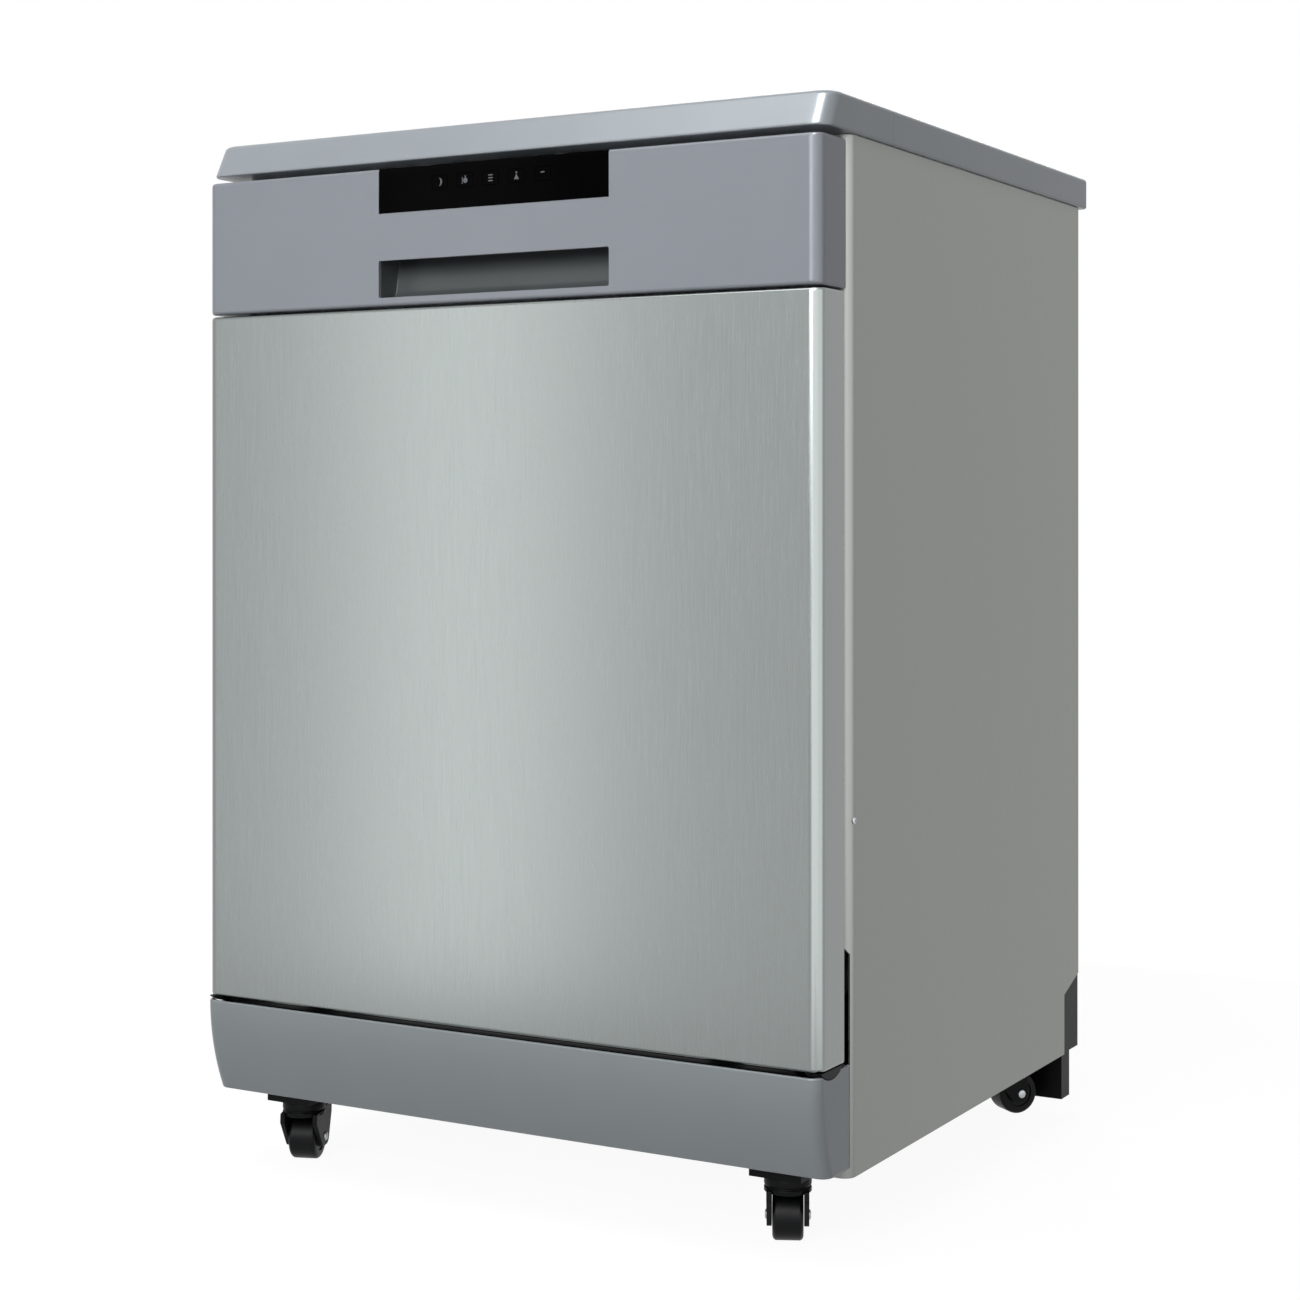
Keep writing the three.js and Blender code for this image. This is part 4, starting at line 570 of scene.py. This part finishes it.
# ---------------- door front
def rounded_block(part, inset, depth, edge):
    """A block with rounded upright corners and rounded edges round its front."""
    corner = SIZE.corner - inset
    rows = [flat(horseshoe(part.x1 - inset - 0.3 * e, inset + e, depth, corner - 0.5 * e), z)
            for e, z in section(part.z0 + inset, part.z1 - inset, edge, edge)]
    form = Form()
    made = form.loft(rows, wrap=True)
    form.cap(made[0])
    form.cap(made[-1])
    return form


def pressed_shell(part, wall):
    """A shell that is open at the back."""
    inside = rounded_block(part, wall, part.y1 + 1, max(EDGE - wall, 0.3))
    return rounded_block(part, 0, part.y1, EDGE).carve(inside)


def liner_room():
    """The space between the door's two shells that the liner reaches into."""
    door, panel = Span("door_panel"), Span("control_panel")
    return (-LINER_HALF, LINER_HALF, LINER_FRONT, panel.y1 + 1,
            door.z1 - SIZE.wall - 1, panel.z0 + SIZE.wall + 1)


def make_door_skin():
    """The steel skin, and the lip under it that turns with the door."""
    door, hinge = Span("door_panel"), Span("tub_floor")
    bracket = max(abs(hinge.x0), hinge.x1) - HINGE_PIN
    slots = [sorted((side * (bracket - SLOT_INSIDE), side * (bracket + SLOT_OUTSIDE)))
             for side in (1, -1)]
    top = door.z0 + SIZE.sheet + 1
    cuts = [(*slot, SLOT_FRONT, door.y1 + 1, door.z0 - 1, top) for slot in slots]
    pressed_shell(door, SIZE.sheet).carve(blocks(*cuts, liner_room())).piece(
        "door_skin", "stainless", "door", "door_panel")

    _, y, z = pivot("door_hinge")
    swing = [math.radians(a) for a in range(-LIP_SWING, LIP_SWING + 1, 4)]
    lip = Form().prism("x", [(y + LIP_REACH * math.sin(t), z - LIP_REACH * math.cos(t)) for t in swing],
                       -LIP_HALF, LIP_HALF)
    lip.carve(blocks(*[(*slot, 0, LIP_DEPTH, door.z0 - LIP_DROP, top) for slot in slots]))
    lip.piece("door_lip", "black_plastic", "door")


def make_panel_shell():
    """The control panel's moulding, open for the hand grip, the window and the liner."""
    panel, window = Span("control_panel"), Span("display_window")
    low = panel.z0 + GRIP_LIP
    high = low + SIZE.grip_height
    mouth = outline([(x, z, GRIP_CORNER) for x, z in ((-GRIP_HALF, low), (GRIP_HALF, low),
                                                      (GRIP_HALF, high), (-GRIP_HALF, high))], 4)
    openings = Form().prism("y", mouth, -1, SIZE.wall + 1)
    openings.block(-GRIP_HALF, GRIP_HALF, -1, WINDOW_RECESS, window.z0 - FIT, panel.z1 + 1)
    openings.block(*liner_room())
    pressed_shell(panel, SIZE.wall).carve(openings).piece(
        "panel_shell", "silver_plastic", "door", "control_panel", bevel=0.5, angle=50)


def make_grip():
    """The scoop of the hand grip, and the plate behind the window with its slot for the keys."""
    panel, window = Span("control_panel"), Span("display_window")
    first, last = Span("key_1"), Span("key_5")
    low = panel.z0 + GRIP_LIP
    high = low + SIZE.grip_height
    roof, front, wall = high + GRIP_HOOK, SIZE.wall + FIT, GRIP_WALL
    outer = outline([(front, low - wall, 0), (GRIP_FLOOR + wall, low - wall, 12),
                     (SIZE.grip_depth + wall, roof + wall, 5), (front, roof + wall, 0)], 10)
    inner = outline([(front - 1, low, 0), (GRIP_FLOOR, low, 10), (SIZE.grip_depth, roof, 4),
                     (front + wall, roof, 0), (front + wall, high, 0), (front - 1, high, 0)], 10)
    scoop = Form().prism("x", outer, -GRIP_HALF - wall, GRIP_HALF + wall)
    scoop.carve(Form().prism("x", inner, -GRIP_HALF, GRIP_HALF))
    half, foot = GRIP_HALF - FIT, window.z0 - 0.9
    scoop.block(-half, half, front, front + wall, roof + wall + 0.1, window.z0 - 1)
    left, right = first.x0 - 1, last.x1 + 1
    for x0, x1 in ((-half, left), (right, half)):
        scoop.block(x0, x1, *KEY_SEAT, foot, window.z1)
    scoop.block(left, right, *KEY_SEAT, foot, first.z0 - 1)
    scoop.block(left, right, *KEY_SEAT, first.z1 + 1, window.z1)
    scoop.piece("grip_scoop", "grip_plastic", "door", "handle_insert", bevel=0.9, segments=3, angle=50)


def disc(x, z, radius, steps=20):
    """A round dot."""
    return [(x + radius * math.cos(t), z + radius * math.sin(t))
            for t in (2 * math.pi * k / steps for k in range(steps))]


def bar(x, z, half, rise):
    """A bar, given by its middle, half its width and half its height."""
    return [(x - half, z - rise), (x + half, z - rise), (x + half, z + rise), (x - half, z + rise)]


def crescent(height, outer, inner, steps=12):
    """A half moon between two arcs that bulge to the right by outer and inner."""
    angles = [math.pi * (k / steps - 0.5) for k in range(steps + 1)]
    edges = [[(-1 + bulge * math.cos(t), height * math.sin(t)) for t in angles] for bulge in (outer, inner)]
    return edges[0] + edges[1][-2:0:-1]


def make_marks():
    """Small generic pictures printed on the keys: each is a thin plate on its key's face."""
    pictures = ([crescent(3.5, 3.5, 1.75)],
                [disc(0.4, -0.4, 2.2), bar(-2.6, -0.4, 0.35, 2.8), bar(0.4, 2.9, 0.5, 0.7)],
                [bar(0, z, 2.2, 0.45) for z in (-2.4, 0, 2.4)],
                [[(-2.4, -3), (2.4, -3), (0, 1.6)], disc(0, 2.6, 0.9)],
                [bar(0, 1.2, 1.8, 0.55)])
    for n, picture in enumerate(pictures, 1):
        key = Span(f"key_{n}")
        x, z = (key.x0 + key.x1) / 2, (key.z0 + key.z1) / 2
        form = Form()
        for shape in picture:
            form.prism("y", [(x + a, z + b) for a, b in shape], key.y0 - MARK_THICK, key.y0 + MARK_SINK)
        form.piece(f"mark_{n}", "print", f"key_{n}")


# ---------------- kick plate and side panels
def kick_block(kick, inset, depth, rows):
    """The kick plate's outer form, or its hollow: rows are pairs (inset, z) up its wall."""
    height = kick.z1 - kick.z0
    form = Form()
    made = form.loft([flat(horseshoe(kick.x1 - inset - e,
                                     kick.y0 + inset + e + KICK_SETBACK * ((kick.z1 - z) / height) ** 2,
                                     depth, SIZE.corner - inset - e), z) for e, z in rows], wrap=True)
    form.cap(made[0])
    form.cap(made[-1])
    return form


def make_kick():
    """The kick plate: a curved front, two sides with flanges, and the lugs inside."""
    kick = Span("kick_plate")
    height = kick.z1 - kick.z0
    steps = [(0, kick.z0 + KICK_BEND + (height - 2 * KICK_BEND) * k / KICK_STEPS)
             for k in range(1, KICK_STEPS)]
    ends = section(kick.z0, kick.z1, KICK_BEND, KICK_BEND)
    middle = len(ends) // 2
    shell = kick_block(kick, 0, KICK_RETURN, ends[:middle] + steps + ends[middle:])
    hollow = [(0, kick.z0 - 1 + (height + 2) * k / KICK_STEPS) for k in range(KICK_STEPS + 1)]
    shell.carve(kick_block(kick, SIZE.wall, KICK_RETURN + 5, hollow))
    sweep = Form()
    for side in (1, -1):
        inner, outer = side * SWEEP_INNER, side * SWEEP_OUTER
        sweep.turn([(0, inner), (SWEEP, inner), (SWEEP, outer), (0, outer)],
                   (0, *pivot("door_hinge")[1:]), "x", 96)
    shell.carve(sweep)
    for side in (1, -1):
        across = sorted(side * x for x in KICK_FLANGE)
        shell.block(*across, KICK_RETURN - SIZE.wall, KICK_RETURN, kick.z0 + 1, kick.z1 - 0.6)
    lug = kick.z1 - LUG_DROP
    for x in (-LUG_X, LUG_X):
        shell.block(x - LUG_HALF, x + LUG_HALF, SIZE.wall - 0.1, kick.y1, lug - LUG_THICK, lug)
    shell.piece("kick_skin", "kick_plastic", "cabinet", "kick_plate", bevel=0.4, angle=50)


def make_side(side, name):
    """A side panel with rolled edges; side is 1 for the right one and -1 for the left one."""
    part = Span(f"side_panel_{name}")
    outer = max(abs(part.x0), abs(part.x1))
    fold, inner = outer - PANEL_FOLD, outer - SIZE.sheet
    front, rear, base = part.y0, part.y1, part.z0
    points = outline([(fold, front, 0), (outer, front, SIZE.corner), (outer, rear, 3), (fold, rear, 0),
                      (fold, rear - SIZE.sheet, 0), (inner, rear - SIZE.sheet, 2),
                      (inner, front + SIZE.sheet, SIZE.corner - SIZE.sheet),
                      (fold, front + SIZE.sheet, 0)], 10)
    sheet = Form().prism("z", [(side * x, y) for x, y in points], base, part.z1)
    across = sorted((side * (fold - 1), side * (outer + 1)))
    depth, low, high = BASE_NOTCH
    cuts = Form().prism("x", [(rear - depth, base - 1), (rear + 1, base - 1), (rear + 1, base + high),
                              (rear - depth, base + low)], *across)
    depth, foot, low, high = HINGE_NOTCH
    cuts.prism("x", [(front - 1, base + foot), (front + depth, base + foot), (front + depth, base + low),
                     (front - 1, base + high)], *across)
    sheet.carve(cuts).piece(f"side_skin_{name}", "painted_side", "cabinet",
                            f"side_panel_{name}", bevel=0.3, angle=50)
    make_screw(side, name, outer, front + SCREW_INSET, SCREW_Z)


def make_screw(side, name, x, y, z):
    """A small pan-head screw with a cross recess, low on the side's rolled edge."""
    head = Form().turn([(0, 0.9), (1.4, 0.85), (2.3, 0.55), (2.7, 0.1), (2.7, -0.6), (0, -0.6)],
                       (side * x, y, z), "x", 24)
    across = sorted((side * (x + 0.3), side * (x + 1.2)))
    for wide, tall in ((0.35, 1.4), (1.4, 0.35)):
        head.carve(blocks((*across, y - wide, y + wide, z - tall, z + tall)))
    head.piece(f"screw_{name}", "galvanised", "cabinet")


# ---------------- casters
def make_fork(corner, place, braked):
    """The head, the stem and the two cheeks; a braked one has longer cheeks that hold the pedal's pin."""
    r, low, top = CASTER_HEAD, FORK_LOW, FORK_TOP
    fork = Form(place).turn([(0, low), (r - 0.8, low), (r, low + 0.8), (r, low + 4), (r - 1, low + 4.6),
                             (r - 1, low + 5.6), (r, low + 6.2), (r, top - 3), (r - 0.9, top - 0.9),
                             (r - 3, top), (0, top)], steps=48)
    cheek = [(3 - r, low + 3, 1), (2 - r, low - 5, 3), (TRAIL - 8, WHEEL - 8, 7), (TRAIL + 8, WHEEL - 8, 7)]
    if braked:
        cheek += [(PEDAL_Y + 4, low - 3, 3), (PEDAL_Y + 4, low + 6, 3), (r - 3, low + 6, 1)]
    else:
        cheek += [(r - 3, low + 3, 1)]
    for side in (1, -1):
        fork.prism("x", outline(cheek, 8), *sorted((side * CHEEK_INNER, side * CHEEK_OUTER)))
    fork.turn([(0, top - 0.5), (STEM, top - 0.5), (STEM, STEM_TOP), (0, STEM_TOP)], steps=24)
    fork.piece(f"fork_{corner}", "black_plastic", f"caster_fork_{corner}", f"caster_fork_{corner}",
               bevel=0.5, angle=45)


def make_axle_caps(corner, place):
    """The axle's two rivet heads, outside the cheeks."""
    for side, end in ((1, "out"), (-1, "in")):
        profile = [(r, side * (CHEEK_OUTER + h)) for r, h in
                   ((0, 1.5), (2.2, 1.4), (3.6, 0.9), (4, 0.1), (4, -0.5), (0, -0.5))]
        Form(place).turn(profile, (0, TRAIL, WHEEL), "x", 32).piece(
            f"axle_{end}_{corner}", "galvanised", f"caster_fork_{corner}")


def make_wheel(corner, place):
    """The barrel-shaped wheel, with a groove in each face."""
    half = [(9, 12.5), (9.6, 11.3), (12.4, 11.3), (13, 12.5), (16.6, 12.4), (18.2, 11.9),
            (19.3, 11), (19.9, 9.9), (WHEEL, 9)]
    profile = [(3.4, 12.5)] + half + [(r, -h) for r, h in reversed(half)] + [(3.4, -12.5)]
    Form(place).turn(profile, (0, TRAIL, WHEEL), "x", 64, closed=True).piece(
        f"wheel_{corner}", "caster_tread", f"caster_wheel_{corner}", f"caster_wheel_{corner}")


def make_pedal(corner, place):
    """A loop with a hole that a toe can reach, on a pin between the fork's cheeks."""
    y, z = PEDAL_Y, PEDAL_Z
    arm = Form(place).prism("x", outline([(y - 4, z - 3, 2), (y + 4, z - 3, 3), (y + 19, z + 1, 2),
                                          (y + 19, z + 5, 1.9), (y + 3, z + 4, 3),
                                          (y - 4, z + 3, 2)], 6), -PEDAL_HALF, PEDAL_HALF)
    hole = Form(place).prism("z", outline([(-7, y + 7, 2.5), (7, y + 7, 2.5), (7, y + 15, 2.5),
                                           (-7, y + 15, 2.5)], 5), z - 6, z + 9)
    arm.carve(hole)
    arm.turn([(0, -CHEEK_OUTER), (1.8, -CHEEK_OUTER), (1.8, CHEEK_OUTER), (0, CHEEK_OUTER)],
             (0, y, z), "x", 16)
    arm.piece(f"pedal_{corner}", "black_plastic", f"brake_pedal_{corner}",
              f"brake_pedal_{corner}", bevel=0.5, angle=45)


def make_caster(corner):
    x, y, _ = pivot(f"caster_swivel_{corner}")
    place = Matrix.Translation(at(x, y, 0)) @ Matrix.Rotation(math.radians(CASTER_TURN[corner]), 4, "Z")
    braked = corner.startswith("front")
    make_fork(corner, place, braked)
    make_axle_caps(corner, place)
    make_wheel(corner, place)
    if braked:
        make_pedal(corner, place)


# ---------------- racks
def bent(path, bend, steps=4):
    """The path with each inner corner replaced by a small curve."""
    curved = [path[0]]
    for before, here, after in zip(path, path[1:], path[2:]):
        back, ahead = before - here, after - here
        reach = min(bend, back.length * 0.45, ahead.length * 0.45)
        start, end = here + back.normalized() * reach, here + ahead.normalized() * reach
        curved += [start.lerp(here, t).lerp(here.lerp(end, t), t)
                   for t in (k / steps for k in range(steps + 1))]
    return curved + [path[-1]]


def tube(form, points, radius, sides=8, closed=False, bend=5.0):
    """A round wire through the points, with bends of a small radius where it is open."""
    path = [Vector(p) for p in points]
    if not closed:
        path = bent(path, bend)
    count = len(path)
    normal = None
    rows = []
    for i, here in enumerate(path):
        before = path[i - 1] if closed or i else here
        after = path[(i + 1) % count] if closed or i < count - 1 else here
        along = (after - before).normalized()
        if normal is None:
            normal = along.orthogonal().normalized()
        normal = (normal - along * normal.dot(along)).normalized()
        across = along.cross(normal)
        rows.append([tuple(here + (normal * math.cos(t) + across * math.sin(t)) * radius)
                     for t in (2 * math.pi * (k + 0.5) / sides for k in range(sides))])
    made = form.loft(rows, wrap=True, ring=closed)
    if not closed:
        form.cap(made[0])
        form.cap(made[-1])


def basket(base, rim, tines):
    """A rack's wires. Both racks have the upper one's plan; tines are (x, lean, y where they start)."""
    plan = Span("upper_rack")
    half, front, back = plan.x1 - SIZE.rim_wire, plan.y0 + SIZE.rim_wire, plan.y1 - SIZE.rim_wire
    slope, wire = SIZE.rack_slope, SIZE.wire
    under = base - 2 * wire + 0.8       # the long wires are welded below the cross ones
    form = Form()
    for inset, z in ((0, rim), (slope, base)):
        left, right, near, far = -half + inset, half - inset, front + inset, back - inset
        loop = outline([(x, y, RACK_CORNER) for x, y in
                        ((left, near), (right, near), (right, far), (left, far))], 8)
        tube(form, flat(loop, z), SIZE.rim_wire, 10, closed=True)
    across, along = RACK_ROWS
    first, deep = front + RACK_MARGIN, back - front - 2 * RACK_MARGIN
    ys = [first + deep * (n + 0.5) / across for n in range(across)]
    xs = [-half + RACK_MARGIN + 2 * (half - RACK_MARGIN) * (n + 0.5) / along for n in range(along)]
    for y in ys:
        tube(form, [(-half, y, rim), (-half + slope, y, base), (half - slope, y, base),
                    (half, y, rim)], wire)
    for x in xs:
        tube(form, [(x, front, rim), (x, front + slope, under), (x, back - slope, under),
                    (x, back, rim)], wire)
    for x, lean, start in tines:
        for y in (y for y in ys if y > start):
            tube(form, [(x, y, base), (x + lean, y, base + TINE)], wire)
    return form


def make_upper_rack():
    """The upper basket, with two rows of leaning wires."""
    rim = Span("upper_rack").z1 - SIZE.rim_wire
    basket(rim - UPPER_RACK_DEPTH, rim, ((-80, 10, 120), (80, -10, 120))).piece(
        "rack_upper", "coated_wire", "upper_rack", "upper_rack")


def make_lower_rack():
    """The lower basket, with the wires that carry its four rollers."""
    rim = Span("lower_rack").z1 - SIZE.rim_wire
    base = rim - LOWER_RACK_DEPTH
    form = basket(base, rim, ((-160, 0, 80), (-20, 0, 170), (120, 0, 170)))
    for end in ("front", "rear"):
        wheel = Span(f"rack_wheel_{end}_right")
        y, z, inside = (wheel.y0 + wheel.y1) / 2, (wheel.z0 + wheel.z1) / 2, wheel.x0 - 3
        for side in (1, -1):
            tube(form, [(side * inside, y, base), (side * inside, y, z),
                        (side * (wheel.x1 + 2), y, z)], AXLE_WIRE, 10, bend=4)
    form.piece("rack_lower", "coated_wire", "lower_rack", "lower_rack")


def make_roller(place):
    """One of the lower rack's rollers, with a groove in each face."""
    span = Span(f"rack_wheel_{place}")
    centre = ((span.x0 + span.x1) / 2, (span.y0 + span.y1) / 2, (span.z0 + span.z1) / 2)
    radius, half = (span.z1 - span.z0) / 2, (span.x1 - span.x0) / 2
    face = [(3, half), (5.5, half), (6, half - 1.4), (radius - 4.5, half - 1.4), (radius - 4, half),
            (radius - 1, half), (radius, half - 1)]
    profile = face + [(r, -h) for r, h in reversed(face)]
    Form().turn(profile, centre, "x", 48, closed=True).piece(
        f"rack_roller_{place}", "grey_plastic", f"rack_wheel_{place}", f"rack_wheel_{place}")


# ---------------- stage
PICTURE = 1300          # the photograph's width in pixels, its focal length and its horizon's row
FOCAL = 2363.0
HORIZON = 508.2
EYE = (1073.8, -1622, 583.5)    # camera's place in mm, and its heading in degrees
HEADING = 29.64
FLOOR_HALF = 1.0        # metres


def make_backdrop():
    """A world that is white to see and soft as a light."""
    world = bpy.data.worlds.new("studio")
    bpy.context.scene.world = world
    sky = Graph(world)
    soft = sky.node("ShaderNodeBackground", None, (0.93, 0.96, 1.0), 0.14)
    seen = sky.node("ShaderNodeBackground", None, (1.0, 1.0, 1.0), 1.0)
    sky.node("ShaderNodeOutputWorld", None,
             sky.node("ShaderNodeMixShader", None, sky.background_share(), soft, seen))


def make_floor():
    """A floor that is near white to see, and darker to the light that it throws back."""
    bm = bmesh.new()
    bmesh.ops.create_grid(bm, x_segments=1, y_segments=1, size=FLOOR_HALF)
    mesh = bpy.data.meshes.new("floor")
    bm.to_mesh(mesh)
    bm.free()
    floor = bpy.data.objects.new("floor", mesh)
    floor.location.z = -0.5 * MM
    bpy.context.scene.collection.objects.link(floor)
    s = Shader("floor", roughness=0.9, base_color=(0.18, 0.18, 0.18), specular_ior_level=0.0)
    seen = s.node("ShaderNodeBsdfPrincipled", None, Base_Color=(0.1, 0.1, 0.1), Roughness=0.9,
                  Specular_IOR_Level=0.0, Emission_Color=(1.0, 1.0, 1.0), Emission_Strength=0.94)
    s.feed(s.output.node.inputs["Surface"],
           s.node("ShaderNodeMixShader", None, s.background_share(), s.principled, seen))
    mesh.materials.append(s.material)


def softbox(name, place, aim, width, height, power):
    """A rectangular light, turned to its aim, with its power in watts."""
    light = bpy.data.lights.new(name, "AREA")
    light.shape = "RECTANGLE"
    light.size, light.size_y = width, height
    light.energy = power
    obj = bpy.data.objects.new(name, light)
    obj.location = place
    obj.rotation_euler = (Vector(aim) - Vector(place)).to_track_quat("-Z", "Y").to_euler()
    bpy.context.scene.collection.objects.link(obj)
    return obj


def make_lights():
    """Softboxes, and cards that only show as reflections. Places and sizes are in metres."""
    softbox("front", (0.45, -3.6, 1.7), (0, -0.3, 0.45), 1.6, 1.6, 72)
    softbox("top", (-0.4, -1.25, 3.0), (0, -0.3, 0.9), 1.4, 1.4, 28)
    softbox("right", (1.6, -0.4, 3.0), (0.3, -0.3, 0.9), 0.45, 0.45, 4)
    softbox("back", (-1.6, 3.6, 2.0), (0, 0.3, 0.5), 1.6, 2.0, 55)
    softbox("strip", (-1.72, -2.79, -0.2), (0, -0.3, -0.2), 0.36, 4.4, 11.5)
    corner = (0.3, -0.3, 0.8)
    for name, place, aim, width, height, power in (
            ("card_left", (-1.95, -2.65, 0.0), (0, -0.3, 0.0), 3.0, 3.8, 8),
            ("card_right", (1.9, -2.6, 0.8), corner, 2.9, 3.4, 52),
            ("card_side", (3.2, -0.5, 0.8), corner, 2.7, 3.4, 40),
            ("glint_top", (1.0, -1.43, 3.0), corner, 0.7, 0.6, 110),
            ("glint_panel", (1.8, -2.8, 2.4), corner, 1.4, 1.0, 36)):
        softbox(name, place, aim, width, height, power).visible_diffuse = False


def make_camera():
    """A camera that stands and looks as the photograph's did."""
    camera = bpy.data.cameras.new("camera")
    camera.sensor_width = 36
    camera.lens = camera.sensor_width * FOCAL / PICTURE
    camera.shift_y = (HORIZON - PICTURE / 2) / PICTURE
    camera.clip_end = 50
    obj = bpy.data.objects.new("camera", camera)
    obj.location = at(*EYE)
    obj.rotation_euler = (math.radians(90), 0, math.radians(HEADING))
    bpy.context.scene.collection.objects.link(obj)
    bpy.context.scene.camera = obj


def make_stage():
    bpy.context.scene.view_settings.view_transform = "Standard"
    make_backdrop()
    make_floor()
    make_lights()
    make_camera()


# ---------------- add-on
class DISHWASHER_OT_materials(bpy.types.Operator):
    """Makes the procedural materials"""
    bl_idname = "dishwasher.materials"
    bl_label = "Materials"

    def execute(self, context):
        make_materials()
        return {"FINISHED"}


class DISHWASHER_OT_dress(bpy.types.Operator):
    """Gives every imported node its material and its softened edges"""
    bl_idname = "dishwasher.dress"
    bl_label = "Dress the packed nodes"

    def execute(self, context):
        for row in frame["record"]["subparts"]:
            dress(row["node"], row["material_slot"])
        return {"FINISHED"}


class DISHWASHER_OT_worktop(bpy.types.Operator):
    """Builds the worktop's frame with its leaning front"""
    bl_idname = "dishwasher.worktop"
    bl_label = "Worktop"

    def execute(self, context):
        make_worktop()
        return {"FINISHED"}


class DISHWASHER_OT_door(bpy.types.Operator):
    """Builds the door's skin, the control panel, the hand grip and the keys' marks"""
    bl_idname = "dishwasher.door"
    bl_label = "Door front"

    def execute(self, context):
        make_door_skin()
        make_panel_shell()
        make_grip()
        make_marks()
        return {"FINISHED"}


class DISHWASHER_OT_cabinet(bpy.types.Operator):
    """Builds the side panels, their screws and the kick plate"""
    bl_idname = "dishwasher.cabinet"
    bl_label = "Cabinet"

    def execute(self, context):
        make_side(1, "right")
        make_side(-1, "left")
        make_kick()
        return {"FINISHED"}


class DISHWASHER_OT_casters(bpy.types.Operator):
    """Builds the four casters and their brake pedals"""
    bl_idname = "dishwasher.casters"
    bl_label = "Casters"

    def execute(self, context):
        for corner in CASTER_TURN:
            make_caster(corner)
        return {"FINISHED"}


class DISHWASHER_OT_racks(bpy.types.Operator):
    """Builds the wire racks and their rollers"""
    bl_idname = "dishwasher.racks"
    bl_label = "Racks"

    def execute(self, context):
        make_upper_rack()
        make_lower_rack()
        for place in ("front_left", "front_right", "rear_left", "rear_right"):
            make_roller(place)
        return {"FINISHED"}


class DISHWASHER_OT_stage(bpy.types.Operator):
    """Sets up the floor, lights, background and camera"""
    bl_idname = "dishwasher.stage"
    bl_label = "Stage"

    def execute(self, context):
        make_stage()
        return {"FINISHED"}


class DISHWASHER_PT_panel(bpy.types.Panel):
    """Lists the steps in the order that they run, then the sizes and colours"""
    bl_idname = "DISHWASHER_PT_panel"
    bl_label = "Dishwasher"
    bl_space_type = "VIEW_3D"
    bl_region_type = "UI"
    bl_category = "Dishwasher"

    def draw(self, context):
        for step in STEPS:
            self.layout.operator(step.bl_idname)
        for group in (context.scene.dishwasher_sizes, context.scene.dishwasher_colours):
            for name in group.bl_rna.properties.keys():
                if name not in ("rna_type", "name"):
                    self.layout.prop(group, name)


STEPS = (DISHWASHER_OT_materials, DISHWASHER_OT_dress, DISHWASHER_OT_worktop, DISHWASHER_OT_door,
         DISHWASHER_OT_cabinet, DISHWASHER_OT_casters, DISHWASHER_OT_racks, DISHWASHER_OT_stage)
CLASSES = (DishwasherSizes, DishwasherColours, *STEPS, DISHWASHER_PT_panel)


def register():
    for cls in CLASSES:
        bpy.utils.register_class(cls)
    bpy.types.Scene.dishwasher_sizes = bpy.props.PointerProperty(type=DishwasherSizes)
    bpy.types.Scene.dishwasher_colours = bpy.props.PointerProperty(type=DishwasherColours)


def unregister():
    del bpy.types.Scene.dishwasher_colours
    del bpy.types.Scene.dishwasher_sizes
    for cls in reversed(CLASSES):
        bpy.utils.unregister_class(cls)


def main():
    register()
    for step in STEPS:
        group, name = step.bl_idname.split(".")
        getattr(getattr(bpy.ops, group), name)()


if __name__ == "__main__":
    main()
